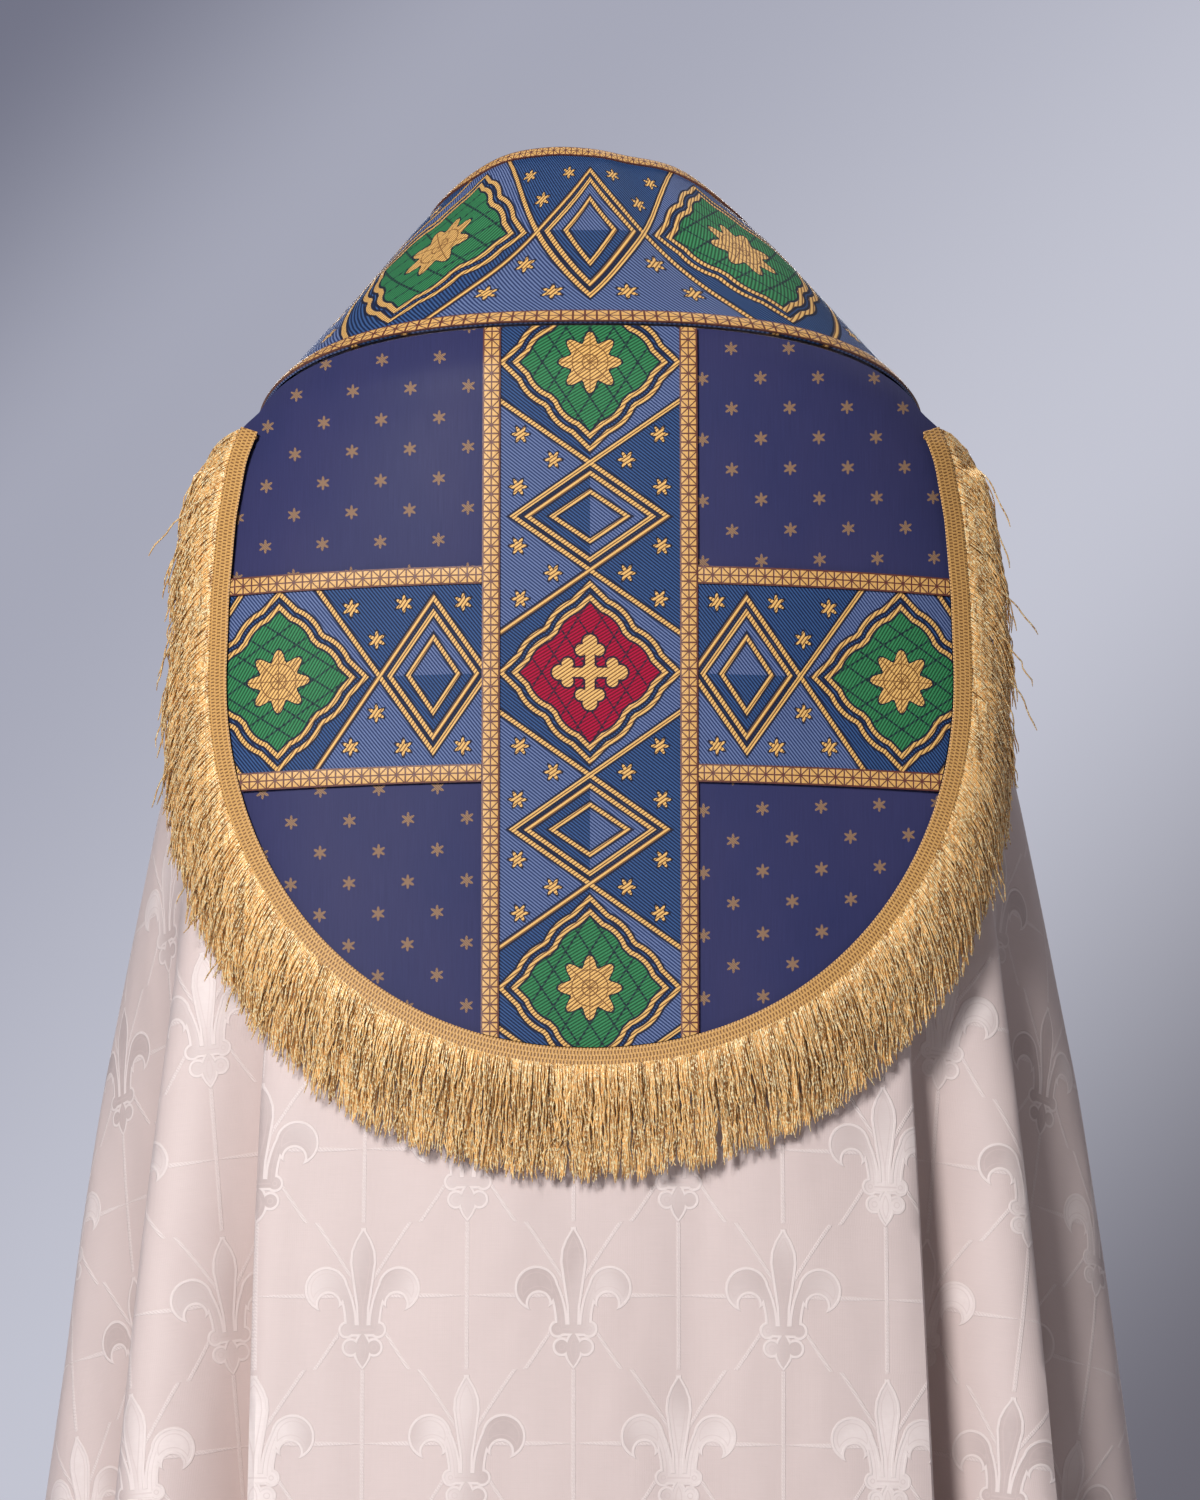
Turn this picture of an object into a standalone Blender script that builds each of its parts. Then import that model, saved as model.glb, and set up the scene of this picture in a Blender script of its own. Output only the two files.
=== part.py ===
"""A cope with a shield hood, worn and open at the front.

The cape is a half circle of damask. An orphrey band follows its straight edge down both
fronts and round the neck, a shield hood with a fringe hangs from the band at the back, and
a morse closes the fronts at the chest. X runs across the wearer, +Y is the wearer's front
and +Z is up. The origin is level with the nape, in the middle of the neck. Metres.
"""

import math
import random
from collections import namedtuple

import bmesh
import bpy
import numpy as np
from mathutils import Vector

# Cloth
CAPE_THICKNESS = 0.0015
ORPHREY_THICKNESS = 0.0010
GALLON_THICKNESS = 0.0010
GROUND_THICKNESS = 0.0012
SEAM_GAP = 0.0003
BAND_WIDTH = 0.150
GALLON_WIDTH = 0.0115

# How the cloth of the cape falls
SQUARENESS = 2.6
FOLD_TOP = -0.42
HEM = -1.40
FOLD_GROWTH = 0.75
YOKE_LEVEL = -0.50
BAND_ROWS = (0.0, GALLON_WIDTH, 0.075, BAND_WIDTH - GALLON_WIDTH, BAND_WIDTH)
NECK_MITRE_SHARE = 0.55
NECK_RISE = (0.0, 0.0, 0.0008, 0.0030, 0.0034)
NECK_RISE_BACK = -0.020
NECK_RISE_FRONT = 0.050

# Hood
HOOD_HALF_WIDTH = 0.2460
HOOD_WIDEST = -0.350
HOOD_FOOT = -0.599
HOOD_ROUNDNESS = 2.1
HOOD_TUCK = 0.0012
HOOD_EASE_TOP = 0.04
HOOD_EASE = 0.09
HOOD_STANDOFF_SIDE = 0.006
HOOD_SIDE_START = 3.0
HOOD_STANDOFF_TOP = 0.0020
HOOD_STANDOFF_FOOT = 0.016
CROSS_HALF_WIDTH = 0.0575
ARM_LEVEL = -0.3495
ARM_DROOP = 0.0085
CUTTER_DEPTH = 0.5
CUTTER_TOP = 0.05

# Fringe
HEADING_WIDTH = 0.012
HEADING_THICKNESS = 0.0016
HEADING_GAP = 0.0022
HEADING_OVERHANG = 0.0006
FRINGE_DROP = 0.075
HEADING_STATIONS = 56
LOCKS_PER_STATION = 3
LOCK_FULLNESS = 0.45
LOCK_SEED = 11

# Morse
MORSE_TOP_ROW = 6.25
MORSE_FOOT_ROW = 8.0
MORSE_GALLON_SHARE = 0.11

Section = namedtuple("Section", "name back_z front_z half_width back_reach front_reach gap")
SECTIONS = (
    Section("neck edge", 0.000, -0.118, 0.107, 0.070, 0.082, 0.050),
    Section("band edge", -0.1260, -0.250, 0.218, 0.172, 0.130, 0.052),
    Section("shoulder", -0.1730, -0.288, 0.250, 0.191, 0.143, 0.053),
    Section("blades", -0.240, -0.342, 0.264, 0.203, 0.153, 0.055),
    Section("chest", -0.330, -0.412, 0.276, 0.212, 0.163, 0.057),
    Section("elbow", -0.430, -0.488, 0.289, 0.221, 0.173, 0.060),
    Section("waist", -0.530, -0.563, 0.302, 0.230, 0.185, 0.063),
    Section("hip", -0.630, -0.650, 0.314, 0.240, 0.197, 0.066),
    Section("seat", -0.740, -0.750, 0.327, 0.252, 0.210, 0.070),
    Section("thigh", -0.860, -0.863, 0.340, 0.266, 0.224, 0.075),
    Section("knee", -0.990, -0.990, 0.355, 0.282, 0.240, 0.080),
    Section("calf", -1.120, -1.120, 0.372, 0.300, 0.257, 0.085),
    Section("shin", -1.260, -1.260, 0.391, 0.319, 0.276, 0.090),
    Section("hem", HEM, HEM, 0.412, 0.338, 0.296, 0.095),
)

# Shares run along the cloth from the centre back (0) to the front band (1).
Fold = namedtuple("Fold", "name yoke_share hem_share push columns")
LEFT_FOLDS = (
    Fold("centre back", 0.000, 0.000, 0.000, 0),
    Fold("panel edge", 0.325, 0.215, 0.024, 6),
    Fold("first valley", 0.360, 0.250, -0.062, 3),
    Fold("second crest", 0.440, 0.355, 0.034, 3),
    Fold("second valley", 0.505, 0.415, -0.040, 3),
    Fold("side crest", 0.640, 0.550, 0.034, 3),
    Fold("side valley", 0.735, 0.655, -0.055, 3),
    Fold("third crest", 0.815, 0.750, 0.045, 3),
    Fold("third valley", 0.885, 0.840, -0.055, 3),
    Fold("front crest", 0.950, 0.930, 0.036, 3),
    Fold("front band", 1.000, 1.000, 0.000, 2),
)
RIGHT_FOLDS = (
    Fold("centre back", 0.000, 0.000, 0.000, 0),
    Fold("panel edge", 0.321, 0.240, 0.022, 6),
    Fold("first valley", 0.354, 0.274, -0.060, 3),
    Fold("second crest", 0.445, 0.348, 0.034, 3),
    Fold("second valley", 0.480, 0.385, -0.052, 3),
    Fold("side crest", 0.620, 0.530, 0.036, 3),
    Fold("side valley", 0.720, 0.640, -0.052, 3),
    Fold("third crest", 0.810, 0.740, 0.048, 3),
    Fold("third valley", 0.880, 0.830, -0.058, 3),
    Fold("front crest", 0.950, 0.925, 0.034, 3),
    Fold("front band", 1.000, 1.000, 0.000, 2),
)

HoodEdge = namedtuple("HoodEdge", "z half_width")
HOOD_SIDES = (
    HoodEdge(-0.181, 0.2165),
    HoodEdge(-0.188, 0.2275),
    HoodEdge(-0.208, 0.2350),
    HoodEdge(-0.2475, 0.2415),
    HoodEdge(-0.3000, 0.2452),
)


# ---------------------------------------------------------------- scene and materials


def clear_scene():
    for obj in list(bpy.data.objects):
        bpy.data.objects.remove(obj, do_unlink=True)


def new_collection(name):
    collection = bpy.data.collections.new(name)
    bpy.context.scene.collection.children.link(collection)
    return collection


def finish(name, colour, roughness, metallic=0.0):
    material = bpy.data.materials.new(name)
    material.use_nodes = True
    shader = material.node_tree.nodes["Principled BSDF"]
    shader.inputs["Base Color"].default_value = (*colour, 1.0)
    shader.inputs["Roughness"].default_value = roughness
    shader.inputs["Metallic"].default_value = metallic
    return material


def add_object(name, bm, material, collection):
    mesh = bpy.data.meshes.new(name)
    bm.to_mesh(mesh)
    bm.free()
    if material is not None:
        mesh.materials.append(material)
    obj = bpy.data.objects.new(name, mesh)
    collection.objects.link(obj)
    return obj


# ---------------------------------------------------------------- sheets of cloth


def cloth(name, surface, lift, thickness, material, collection, cuts=()):
    """A wall of cloth over a surface, which gives rows of points for any distance outwards."""
    inner = surface(lift)
    outer = surface(lift + thickness)
    rows, columns = inner.shape[:2]
    bm = bmesh.new()
    bmesh.ops.create_grid(bm, x_segments=columns - 1, y_segments=rows - 1, size=1.0)
    bmesh.ops.triangulate(bm, faces=bm.faces[:], quad_method="FIXED")
    made = bmesh.ops.extrude_face_region(bm, geom=bm.faces[:], use_keep_orig=True)
    raised = {item for item in made["geom"] if isinstance(item, bmesh.types.BMVert)}
    for vert in bm.verts:
        column = round((vert.co.x + 1) / 2 * (columns - 1))
        row = round((vert.co.y + 1) / 2 * (rows - 1))
        vert.co = (outer if vert in raised else inner)[row, column]
    for cut in cuts:
        cut_wall(bm, *cut)
    bmesh.ops.recalc_face_normals(bm, faces=bm.faces[:])
    return add_object(name, bm, material, collection)


def cut_wall(bm, point, normal):
    """Cuts a closed wall on the point's side of the wearer, and caps the cut.

    What lies on the side of the plane that the normal points to is dropped.
    """
    verts = {vert for vert in bm.verts if vert.co.x * point.x > 0}
    edges = [edge for edge in bm.edges if set(edge.verts) <= verts]
    faces = [face for face in bm.faces if set(face.verts) <= verts]
    cut = bmesh.ops.bisect_plane(
        bm, geom=[*verts, *edges, *faces], plane_co=point, plane_no=normal, clear_outer=True
    )
    edges = [item for item in cut["geom_cut"] if isinstance(item, bmesh.types.BMEdge)]
    bmesh.ops.edgeloop_fill(bm, edges=edges)


# ---------------------------------------------------------------- the cape's surface


def between_sections(place):
    """The section at a place along SECTIONS, counted from 0, on smooth curves through the table."""
    place = min(max(place, 0.0), len(SECTIONS) - 1.0)
    low = min(int(place), len(SECTIONS) - 2)
    t = place - low
    four = [SECTIONS[min(max(low + step, 0), len(SECTIONS) - 1)] for step in (-1, 0, 1, 2)]
    values = []
    for field in Section._fields[1:]:
        before, start, end, after = (getattr(section, field) for section in four)
        leave = (end - before) / 2
        arrive = (after - start) / 2
        values.append(
            start * (2 * t**3 - 3 * t**2 + 1)
            + leave * (t**3 - 2 * t**2 + t)
            + end * (3 * t**2 - 2 * t**3)
            + arrive * (t**3 - t**2)
        )
    return Section("between", *values)


def oval_point(section, angle, side):
    """A point on a section's smooth oval. Angle 0 is the centre back and pi the centre front."""
    rounding = 2 / SQUARENESS
    across = section.half_width * math.sin(angle) ** rounding
    reach = section.back_reach if angle < math.pi / 2 else section.front_reach
    along = -reach * math.copysign(abs(math.cos(angle)) ** rounding, math.cos(angle))
    frontness = (1 - math.cos(angle)) / 2
    return (side * across, along, section.back_z + (section.front_z - section.back_z) * frontness)


def half_ring(section, side, steps=400):
    """Close points from the centre back to the front edge, and how far along the ring each is."""
    last = math.pi - math.asin((section.gap / section.half_width) ** (SQUARENESS / 2))
    ring = np.array([oval_point(section, last * step / steps, side) for step in range(steps + 1)])
    lengths = np.linalg.norm(np.diff(ring, axis=0), axis=1)
    return ring, np.concatenate([[0.0], np.cumsum(lengths)])


def point_on_ring(ring, lengths, distance):
    return np.array([np.interp(distance, lengths, ring[:, axis]) for axis in range(3)])


def smooth_step(share):
    return (1 - math.cos(math.pi * share)) / 2


def fold_columns(folds):
    """(yoke share, hem share, push) for every column from the centre back to the front band."""
    columns = [(0.0, 0.0, 0.0)]
    for before, after in zip(folds, folds[1:]):
        for step in range(1, after.columns + 1):
            t = step / after.columns
            yoke = before.yoke_share + (after.yoke_share - before.yoke_share) * t
            hem = before.hem_share + (after.hem_share - before.hem_share) * t
            push = before.push + (after.push - before.push) * smooth_step(t)
            if before.name == "centre back":
                push = after.push * t**4
            columns.append((yoke, hem, push))
    return columns


def fold_strength(z):
    return max(0.0, (FOLD_TOP - z) / (FOLD_TOP - HEM)) ** FOLD_GROWTH


def pushed(ring, lengths, distance, push):
    """A point of the ring pushed square to it by a fold, which deepens towards the hem."""
    point = point_on_ring(ring, lengths, distance)
    step = 0.002
    ahead = point_on_ring(ring, lengths, distance + step)
    behind = point_on_ring(ring, lengths, distance - step)
    along = ahead - behind
    outward = np.array([along[1], -along[0], 0.0])
    outward /= np.linalg.norm(outward)
    if outward @ np.array([point[0], point[1], 0.0]) < 0:
        outward = -outward
    return point + outward * push * fold_strength(point[2])


def half_row(place, side, folds):
    """One row of the cape's points, from the centre back to the front edge."""
    section = between_sections(place)
    ring, lengths = half_ring(section, side)
    spread = NECK_MITRE_SHARE + (1 - NECK_MITRE_SHARE) * min(place, 1.0)
    free = lengths[-1] - BAND_WIDTH * spread
    down = min(max((YOKE_LEVEL - section.back_z) / (YOKE_LEVEL - HEM), 0.0), 1.0)
    row = []
    for yoke, hem, push in fold_columns(folds):
        distance = (yoke + (hem - yoke) * down) * free
        row.append(pushed(ring, lengths, distance, push))
    for from_edge in reversed(BAND_ROWS[:-1]):
        row.append(point_on_ring(ring, lengths, lengths[-1] - from_edge * spread))
    return row


def cape_places():
    band = [width / BAND_WIDTH for width in BAND_ROWS]
    return band + list(range(2, len(SECTIONS)))


def cape_grid():
    """Rows from the neck to the hem, columns from the left front edge round to the right one."""
    rows = []
    for place in cape_places():
        left = half_row(place, -1, LEFT_FOLDS)
        right = half_row(place, 1, RIGHT_FOLDS)
        rows.append(left[:0:-1] + right)
    return np.array(rows)


def outward_normals(points):
    down = np.gradient(points, axis=0)
    along = np.gradient(points, axis=1)
    normals = np.cross(down, along)
    normals /= np.linalg.norm(normals, axis=2, keepdims=True)
    outward = (normals[..., :2] * points[..., :2]).sum()
    return normals if outward > 0 else -normals


# ---------------------------------------------------------------- cape, bands and gallons


def band_lifts():
    """How far the band and its gallon stand from the cape's inner points."""
    band = CAPE_THICKNESS + SEAM_GAP
    return band, band + ORPHREY_THICKNESS + SEAM_GAP


def neck_rise(points):
    """How far the neck band's lower edge stands up over the hood's edge, row by row."""
    back = (NECK_RISE_FRONT - points[..., 1:2]) / (NECK_RISE_FRONT - NECK_RISE_BACK)
    return np.array(NECK_RISE)[:, None, None] * np.clip(back, 0.0, 1.0)


def mitre_cut(points, column, side, keep_neck):
    """The plane through the neck corner of one front, on the line that halves the corner."""
    edge_column = 0 if side < 0 else points.shape[1] - 1
    corner = Vector(points[0, edge_column])
    inner = Vector(points[len(BAND_ROWS) - 1, column])
    outward = Vector(((corner.x + inner.x) / 2, (corner.y + inner.y) / 2, 0.0))
    normal = (inner - corner).cross(outward).normalized()
    if normal.z > 0:
        normal = -normal
    if not keep_neck:
        normal = -normal
    return (corner + inner) / 2 - normal * SEAM_GAP / 2, normal


def make_cape_and_bands(parts, finishes):
    points = cape_grid()
    normals = outward_normals(points)
    band_rows = len(BAND_ROWS) - 1
    last = points.shape[1] - 1
    inner_left = band_rows
    inner_right = last - band_rows
    band_lift, gallon_lift = band_lifts()

    def whole(lift):
        return points + normals * lift

    def part_of(rows, columns):
        return lambda lift: whole(lift)[rows, columns]

    rise = neck_rise(points[: band_rows + 1])

    def neck(rows):
        return lambda lift: (points[rows] + normals[rows] * (lift + rise[rows]))

    def mitres(keep_neck):
        return {
            side: mitre_cut(points, column, side, keep_neck)
            for side, column in ((-1, inner_left), (1, inner_right))
        }

    cloth("cape_body", whole, 0.0, CAPE_THICKNESS, finishes["damask"], parts)

    neck_cuts = list(mitres(keep_neck=True).values())
    orphrey_wall = (band_lift, ORPHREY_THICKNESS, finishes["orphrey"], parts)
    gallon_wall = (gallon_lift, GALLON_THICKNESS, finishes["gallon"], parts)
    everywhere = slice(None)
    lower = neck(slice(band_rows - 1, band_rows + 1))
    cloth("neck_orphrey", neck(slice(0, band_rows + 1)), *orphrey_wall, neck_cuts)
    cloth("neck_gallon_upper", neck(slice(0, 2)), *gallon_wall, neck_cuts)
    cloth("neck_gallon_lower", lower, *gallon_wall, neck_cuts)

    for name, side, edge in (("left", -1, 0), ("right", 1, last)):
        cut = [mitres(keep_neck=False)[side]]

        def strip(first, second):
            low, high = sorted((edge - side * first, edge - side * second))
            return part_of(everywhere, slice(low, high + 1))

        cloth(f"front_orphrey_{name}", strip(0, band_rows), *orphrey_wall, cut)
        cloth(f"front_gallon_{name}_edge", strip(0, 1), *gallon_wall, cut)
        inner = strip(band_rows - 1, band_rows)
        cloth(f"front_gallon_{name}_inner", inner, *gallon_wall, cut)


# ---------------------------------------------------------------- the hood's surface


def place_at(x, z):
    """Where along the sections the smooth back of the cape passes through (x, z)."""
    low, high = 0.0, len(SECTIONS) - 1.0
    for _ in range(40):
        middle = (low + high) / 2
        section = between_sections(middle)
        if back_point(section, x)[2] > z:
            low = middle
        else:
            high = middle
    return (low + high) / 2


def back_point(section, x):
    share = min(abs(x) / section.half_width, 1.0)
    angle = math.asin(share ** (SQUARENESS / 2))
    return oval_point(section, angle, math.copysign(1, x))


def back_y(x, z):
    return back_point(between_sections(place_at(x, z)), x)[1]


def standoff(x, z):
    """How far the hood stands from the cape: least at its top, most at its foot and sides."""
    share = min(max((SECTIONS[1].back_z - z) / (SECTIONS[1].back_z - HOOD_FOOT), 0.0), 1.1)
    side = HOOD_STANDOFF_SIDE * (x / HOOD_HALF_WIDTH) ** 4 * min(share * HOOD_SIDE_START, 1.0)
    return HOOD_STANDOFF_TOP + HOOD_STANDOFF_FOOT * share**1.6 + side


def hood_y(x, z):
    """The hood's curve across is a little flatter than the back's, more so towards its foot."""
    share = min(max((SECTIONS[1].back_z - z) / (SECTIONS[1].back_z - HOOD_WIDEST), 0.0), 1.0)
    return back_y(x * (1 - HOOD_EASE_TOP - (HOOD_EASE - HOOD_EASE_TOP) * share), z)


def hood_point(x, z, lift):
    """A point over the cape's back, square to the hood's surface from it but at the same (x, z)."""
    step = 0.004
    slope_x = (hood_y(x + step, z) - hood_y(x - step, z)) / (2 * step)
    slope_z = (hood_y(x, z + step) - hood_y(x, z - step)) / (2 * step)
    steepness = math.sqrt(1 + slope_x**2 + slope_z**2)
    return Vector((x, hood_y(x, z) - (CAPE_THICKNESS + standoff(x, z) + lift) * steepness, z))


def hood_top(x):
    """The hood's top edge is just under the rim of the neck band, which leans outwards."""
    return back_point(SECTIONS[1], x)[2] + HOOD_TUCK


def drooped(x, z):
    """Level rows on the hood sink a little towards its sides."""
    return z - ARM_DROOP * (x / HOOD_HALF_WIDTH) ** 2


def hood_levels():
    half = CROSS_HALF_WIDTH
    arm_top = ARM_LEVEL + half
    arm_foot = ARM_LEVEL - half
    return {
        "above": (0.25, 0.60),
        "arm": (
            arm_top + GALLON_WIDTH,
            arm_top,
            ARM_LEVEL + half / 3,
            ARM_LEVEL - half / 3,
            arm_foot,
            arm_foot - GALLON_WIDTH,
        ),
        "below": (-0.455, -0.49, -0.525, -0.56, -0.595, -0.625),
    }


def hood_height(x, row):
    """The height at x of one of the hood's rows. Row 0 follows the neck band's lower edge."""
    levels = hood_levels()
    arms = drooped(x, levels["arm"][0])
    if row == 0:
        return hood_top(x)
    if row <= len(levels["above"]):
        share = levels["above"][row - 1]
        return hood_top(x) + (arms - hood_top(x)) * share
    level = (levels["arm"] + levels["below"])[row - 1 - len(levels["above"])]
    return drooped(x, level)


ARM_TOP_ROW = 3
ARM_FOOT_ROW = 8
LAST_HOOD_ROW = 14
CROSS_COLUMNS = (0.0, CROSS_HALF_WIDTH / 2, CROSS_HALF_WIDTH, CROSS_HALF_WIDTH + GALLON_WIDTH)
FIELD_COLUMNS = (0.105, 0.141, 0.173, 0.201, 0.224, 0.239, 0.249)


def hood_sheet(columns, rows):
    """The hood's surface at some columns and rows, for any lift off the cape."""

    def surface(lift):
        return np.array(
            [[hood_point(x, hood_height(x, row), lift) for x in columns] for row in rows]
        )

    return surface


def hood_outline():
    """The hood's edge as (x, z), from its left top corner round the foot to the right one."""
    steps = 40
    sides = [(edge.half_width, edge.z) for edge in HOOD_SIDES]
    foot = []
    for step in range(steps + 1):
        angle = math.pi / 2 * step / steps
        across = HOOD_HALF_WIDTH * math.cos(angle) ** (2 / HOOD_ROUNDNESS)
        down = (HOOD_WIDEST - HOOD_FOOT) * math.sin(angle) ** (2 / HOOD_ROUNDNESS)
        foot.append((across, HOOD_WIDEST - down))
    right = sides + foot
    left = [(-x, z) for x, z in right[:-1]]
    return np.array(left + right[::-1])


def walk(line, count):
    """Points at even distances along a line."""
    lengths = np.concatenate([[0.0], np.cumsum(np.linalg.norm(np.diff(line, axis=0), axis=1))])
    at = np.linspace(0.0, lengths[-1], count)
    return np.stack([np.interp(at, lengths, line[:, axis]) for axis in range(2)], axis=1)


def line_normals(line):
    """Unit normals in the plane of the line, pointing away from the hood's middle."""
    along = np.gradient(line, axis=0)
    normals = np.stack([along[:, 1], -along[:, 0]], axis=1)
    normals /= np.linalg.norm(normals, axis=1, keepdims=True)
    middle = np.array([0.0, HOOD_WIDEST])
    outward = ((line - middle) * normals).sum(axis=1, keepdims=True) > 0
    return np.where(outward, normals, -normals)


def pattern_cutter(name, inset, cutters):
    """An upright block of the hood's outline, which trims the hood's pieces to shape."""
    line = walk(hood_outline(), 121)
    line = line - line_normals(line) * inset
    bm = bmesh.new()
    top = [(line[-1][0], CUTTER_TOP), (line[0][0], CUTTER_TOP)]
    outline = [bm.verts.new((x, -CUTTER_DEPTH, z)) for x, z in [*line, *top]]
    face = bm.faces.new(outline)
    made = bmesh.ops.extrude_face_region(bm, geom=[face])
    moved = [item for item in made["geom"] if isinstance(item, bmesh.types.BMVert)]
    bmesh.ops.translate(bm, verts=moved, vec=(0.0, CUTTER_DEPTH, 0.0))
    bmesh.ops.recalc_face_normals(bm, faces=bm.faces[:])
    cutter = add_object(name, bm, None, cutters)
    cutter.hide_render = True
    cutter.display_type = "WIRE"
    return cutter


def trim(obj, cutter):
    shape = obj.modifiers.new("pattern", "BOOLEAN")
    shape.operation = "INTERSECT"
    shape.object = cutter
    return obj


# ---------------------------------------------------------------- the hood's pieces


def make_hood(parts, cutters, finishes):
    edge = pattern_cutter("hood_edge_cutter", 0.0, cutters)
    inside = pattern_cutter("heading_inner_cutter", HEADING_WIDTH + SEAM_GAP, cutters)
    ground_lift = SEAM_GAP
    cross_lift = ground_lift + GROUND_THICKNESS + SEAM_GAP
    gallon_lift = cross_lift + ORPHREY_THICKNESS + SEAM_GAP
    all_rows = range(LAST_HOOD_ROW + 1)
    right = list(CROSS_COLUMNS + FIELD_COLUMNS)
    across = [-x for x in right[:0:-1]] + right

    ground_wall = (ground_lift, GROUND_THICKNESS, finishes["satin"], parts)
    orphrey_wall = (cross_lift, ORPHREY_THICKNESS, finishes["orphrey"], parts)
    gallon_wall = (gallon_lift, GALLON_THICKNESS, finishes["gallon"], parts)
    half_cross = list(CROSS_COLUMNS[:3])
    upright = [-x for x in half_cross[:0:-1]] + half_cross
    trim(cloth("hood_ground", hood_sheet(across, all_rows), *ground_wall), edge)
    trim(cloth("hood_orphrey_upright", hood_sheet(upright, all_rows), *orphrey_wall), inside)

    for name, side in (("left", -1), ("right", 1)):
        gallon = sorted(side * x for x in CROSS_COLUMNS[2:])
        sheet = hood_sheet(gallon, all_rows)
        trim(cloth(f"hood_gallon_upright_{name}", sheet, *gallon_wall), inside)

        arm_start = CROSS_HALF_WIDTH + SEAM_GAP
        arm = sorted(side * x for x in (arm_start, CROSS_COLUMNS[3], *FIELD_COLUMNS))
        sheet = hood_sheet(arm, range(ARM_TOP_ROW + 1, ARM_FOOT_ROW))
        trim(cloth(f"hood_orphrey_arm_{name}", sheet, *orphrey_wall), inside)

        edge_start = CROSS_COLUMNS[3] + SEAM_GAP
        arm = sorted(side * x for x in (edge_start, *FIELD_COLUMNS))
        for place, first in (("upper", ARM_TOP_ROW), ("lower", ARM_FOOT_ROW - 1)):
            sheet = hood_sheet(arm, (first, first + 1))
            trim(cloth(f"hood_gallon_arm_{name}_{place}", sheet, *gallon_wall), inside)


def lock_direction(normal, height):
    """Which way a lock grows: out from the edge at its root, and more and more straight down."""
    out, down = ((0.50, 0.70), (0.35, 0.94))[height]
    return Vector((normal[0] * out, -0.03, normal[1] * out - down)).normalized()


def make_fringe(parts, finishes):
    """A woven heading along the hood's edge, with its locks grown from the outer rim."""
    per_station = 2 * LOCKS_PER_STATION
    count = HEADING_STATIONS * per_station + 1
    line = walk(hood_outline()[1:-1], count)
    normals = line_normals(line)
    lift = SEAM_GAP + GROUND_THICKNESS + HEADING_GAP
    rim = line + normals * HEADING_OVERHANG
    inner = line - normals * HEADING_WIDTH
    bm = bmesh.new()

    def add(points, at, out):
        return bm.verts.new(hood_point(*points[at], lift + out))

    def heading_side(out):
        """One side of the heading, in fans from its inner edge's points to the finer rim's."""
        outer = [add(rim, at, out) for at in range(count)]
        top = [add(inner, at, out) for at in range(0, count, per_station)]
        for at in range(count - 1):
            nearest = top[(at + LOCKS_PER_STATION) // per_station]
            bm.faces.new((outer[at], outer[at + 1], nearest))
        for station in range(HEADING_STATIONS):
            middle = outer[station * per_station + LOCKS_PER_STATION]
            bm.faces.new((top[station], middle, top[station + 1]))
        return outer, top

    def join(first, second, at):
        return bm.faces.new((first[at], first[at + 1], second[at + 1], second[at]))

    back_rim, back_top = heading_side(0.0)
    front_rim, front_top = heading_side(HEADING_THICKNESS)
    rim_faces = [join(front_rim, back_rim, at) for at in range(count - 1)]
    for station in range(HEADING_STATIONS):
        join(front_top, back_top, station)
    for end in (0, -1):
        bm.faces.new((front_rim[end], back_rim[end], back_top[end], front_top[end]))
    grow_locks(bm, rim_faces[::2], normals[1::2])
    bmesh.ops.recalc_face_normals(bm, faces=bm.faces[:])
    add_object("hood_fringe", bm, finishes["fringe"], parts)


def grow_locks(bm, roots, normals):
    """Draws each lock out of its root face in two lengths, square to the way it grows."""
    chance = random.Random(LOCK_SEED)
    for root, normal in zip(roots, normals):
        face = root
        reach = FRINGE_DROP * chance.uniform(0.93, 1.0)
        sway = Vector((0.0, chance.uniform(-0.05, 0.0), 0.0))
        edge = Vector((-normal[1], 0.0, normal[0]))
        pitch = 2 * abs((root.verts[0].co - root.verts[1].co).dot(edge))
        for height, taper in ((0, 1.0), (1, 0.6)):
            growth = (lock_direction(normal, height) + sway).normalized()
            across = (edge - growth * edge.dot(growth)).normalized()
            through = growth.cross(across)
            half_width = pitch * edge.cross(growth).length * LOCK_FULLNESS / 2 * taper
            half_depth = HEADING_THICKNESS / 2 * taper
            grown = bmesh.ops.extrude_discrete_faces(bm, faces=[face])["faces"][0]
            middle = grown.calc_center_median()
            for vert in grown.verts:
                from_middle = vert.co - middle
                side = math.copysign(half_width, from_middle.dot(across))
                depth = math.copysign(half_depth, from_middle.dot(through))
                vert.co = middle + growth * reach / 2 + across * side + through * depth
            face = grown


# ---------------------------------------------------------------- the morse


def front_point(place, from_edge, side, lift):
    section = between_sections(place)
    ring, lengths = half_ring(section, side)
    point = point_on_ring(ring, lengths, lengths[-1] - from_edge)
    inward = point_on_ring(ring, lengths, lengths[-1] - from_edge - 0.002)
    along = point - inward
    outward = np.array([along[1], -along[0], 0.0]) / np.linalg.norm(along[:2])
    if outward[1] < 0:
        outward = -outward
    return point + outward * lift


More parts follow.
